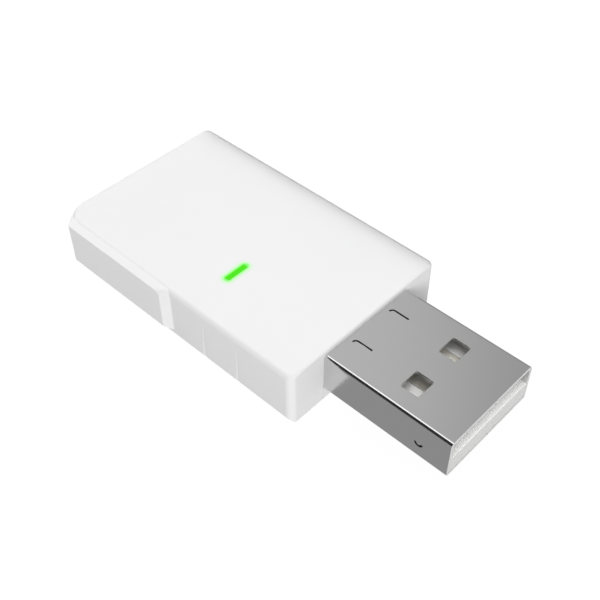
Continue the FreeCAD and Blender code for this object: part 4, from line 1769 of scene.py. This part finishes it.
def banded(
        name: str,
        colours: tuple[str, str],
        axis: Axis,
        centres: Iterable[float],
        length: float,
        cap_share: float = 0.22) -> BandedPart:
    """Make the finish of one or more alike parts with end caps.

    Args:
        name: the finish's name.
        colours: the two colours of the bare body.
        axis: the direction from cap to cap.
        centres: the parts' middles along it.
        length: each part's length.
        cap_share: each cap's share of it.

    Returns:
        The finish.
    """
    half = length * (0.5 - cap_share)
    bands = tuple((centre - half, centre + half) for centre in sorted(centres))
    return BandedPart(name, *colours, axis, bands)


@dataclass
class BoardParts:
    """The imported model's own pieces that stay: their finishes."""

    antenna_sides: tuple[float, float] = (3.096, -3.096)
    antenna_length: float = 4.4
    fuse_place: float = 1.091
    fuse_length: float = 3.2
    large_capacitor_sides: tuple[float, ...] = (7.198, -6.897, -0.998)
    large_capacitor_length: float = 2.0
    small_capacitor_start: float = -7.918
    small_capacitor_spacing: float = 1.15
    small_capacitor_count: int = 5
    small_length: float = 1.0
    resistor_place: float = -6.631

    def finishes(self) -> dict[str, Finish]:
        """Choose the finishes.

        Returns:
            The finish of each carried-over node by its name.
        """
        # White alumina ceramic with silver-palladium ends.
        antenna = banded(
            "alumina_chip_antenna", ("#E9E8E4", "#DFDED9"), Axis.ACROSS,
            self.antenna_sides, self.antenna_length)
        # Green polymer with tinned ends.
        fuse = banded(
            "green_polymer_fuse", ("#2F6B3C", "#285E34"), Axis.ALONG,
            [self.fuse_place], self.fuse_length)
        # Sintered barium titanate: a dull tan ceramic.
        large = banded(
            "tan_ceramic_capacitor", ("#A98A68", "#9C7E5D"), Axis.ACROSS,
            self.large_capacitor_sides, self.large_capacitor_length)
        places = [self.small_capacitor_start - i * self.small_capacitor_spacing
                  for i in range(self.small_capacitor_count)]
        small = banded(
            "tan_ceramic_small_capacitor", ("#A98A68", "#9C7E5D"), Axis.ALONG, places,
            self.small_length)
        # Thick-film resistor: black glass over a white base.
        resistor = banded(
            "black_glass_resistor", ("#1D1D1F", "#28282B"), Axis.ALONG,
            [self.resistor_place], self.small_length)
        found = {
            "light_pipe": ClearLens(),
            "main_board": SolderMask(),
            "power_inductor": CHOKE_FERRITE,
            "resettable_fuse": fuse,
            "wifi_antenna": antenna,
            "bluetooth_antenna": antenna,
            "status_led": LED_BODY,
            "large_capacitors": large,
            "small_capacitors": small,
            "small_resistors": resistor,
        }
        for name in ("power", "data_minus", "data_plus", "ground"):
            found["usb_contact_" + name] = CONTACT_GOLD
        for name in ("wifi_processor", "bluetooth_radio", "flash_memory", "voltage_regulator",
                     "surge_protector"):
            found[name] = CHIP_EPOXY
        for name in ("main_crystal", "radio_crystal", "shield_frame", "shield_lid"):
            found[name] = CAN_TIN
        return found

    def dress(self) -> None:
        """Give each carried-over node its finish, with one material for all that share it."""
        made: dict[str, Material] = {}
        for name, finish in self.finishes().items():
            if finish.name not in made:
                made[finish.name] = finish.material()
            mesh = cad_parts[name].data
            mesh.materials.clear()
            mesh.materials.append(made[finish.name])
            LOG.info("%s: %s", name, finish.name)


def main() -> None:
    """Build the scene."""
    logging.basicConfig(level=logging.INFO, format="%(message)s")
    MouldedHousing().build(HOUSING_ABS_GLOW_PAINTED)
    PlugShell().build(SHELL_STEEL, SHEARED_STEEL, PUNCHED_STEEL_PAINTED_SHADE)
    tongue = PlugInsulator().build(TONGUE_PBT)
    BaseCover().build(COVER_ABS)
    BoardParts().dress()
    contacts = [node for name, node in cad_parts.items() if name.startswith("usb_contact")]
    Studio().build(tongue, contacts)


if __name__ == "__main__":
    main()
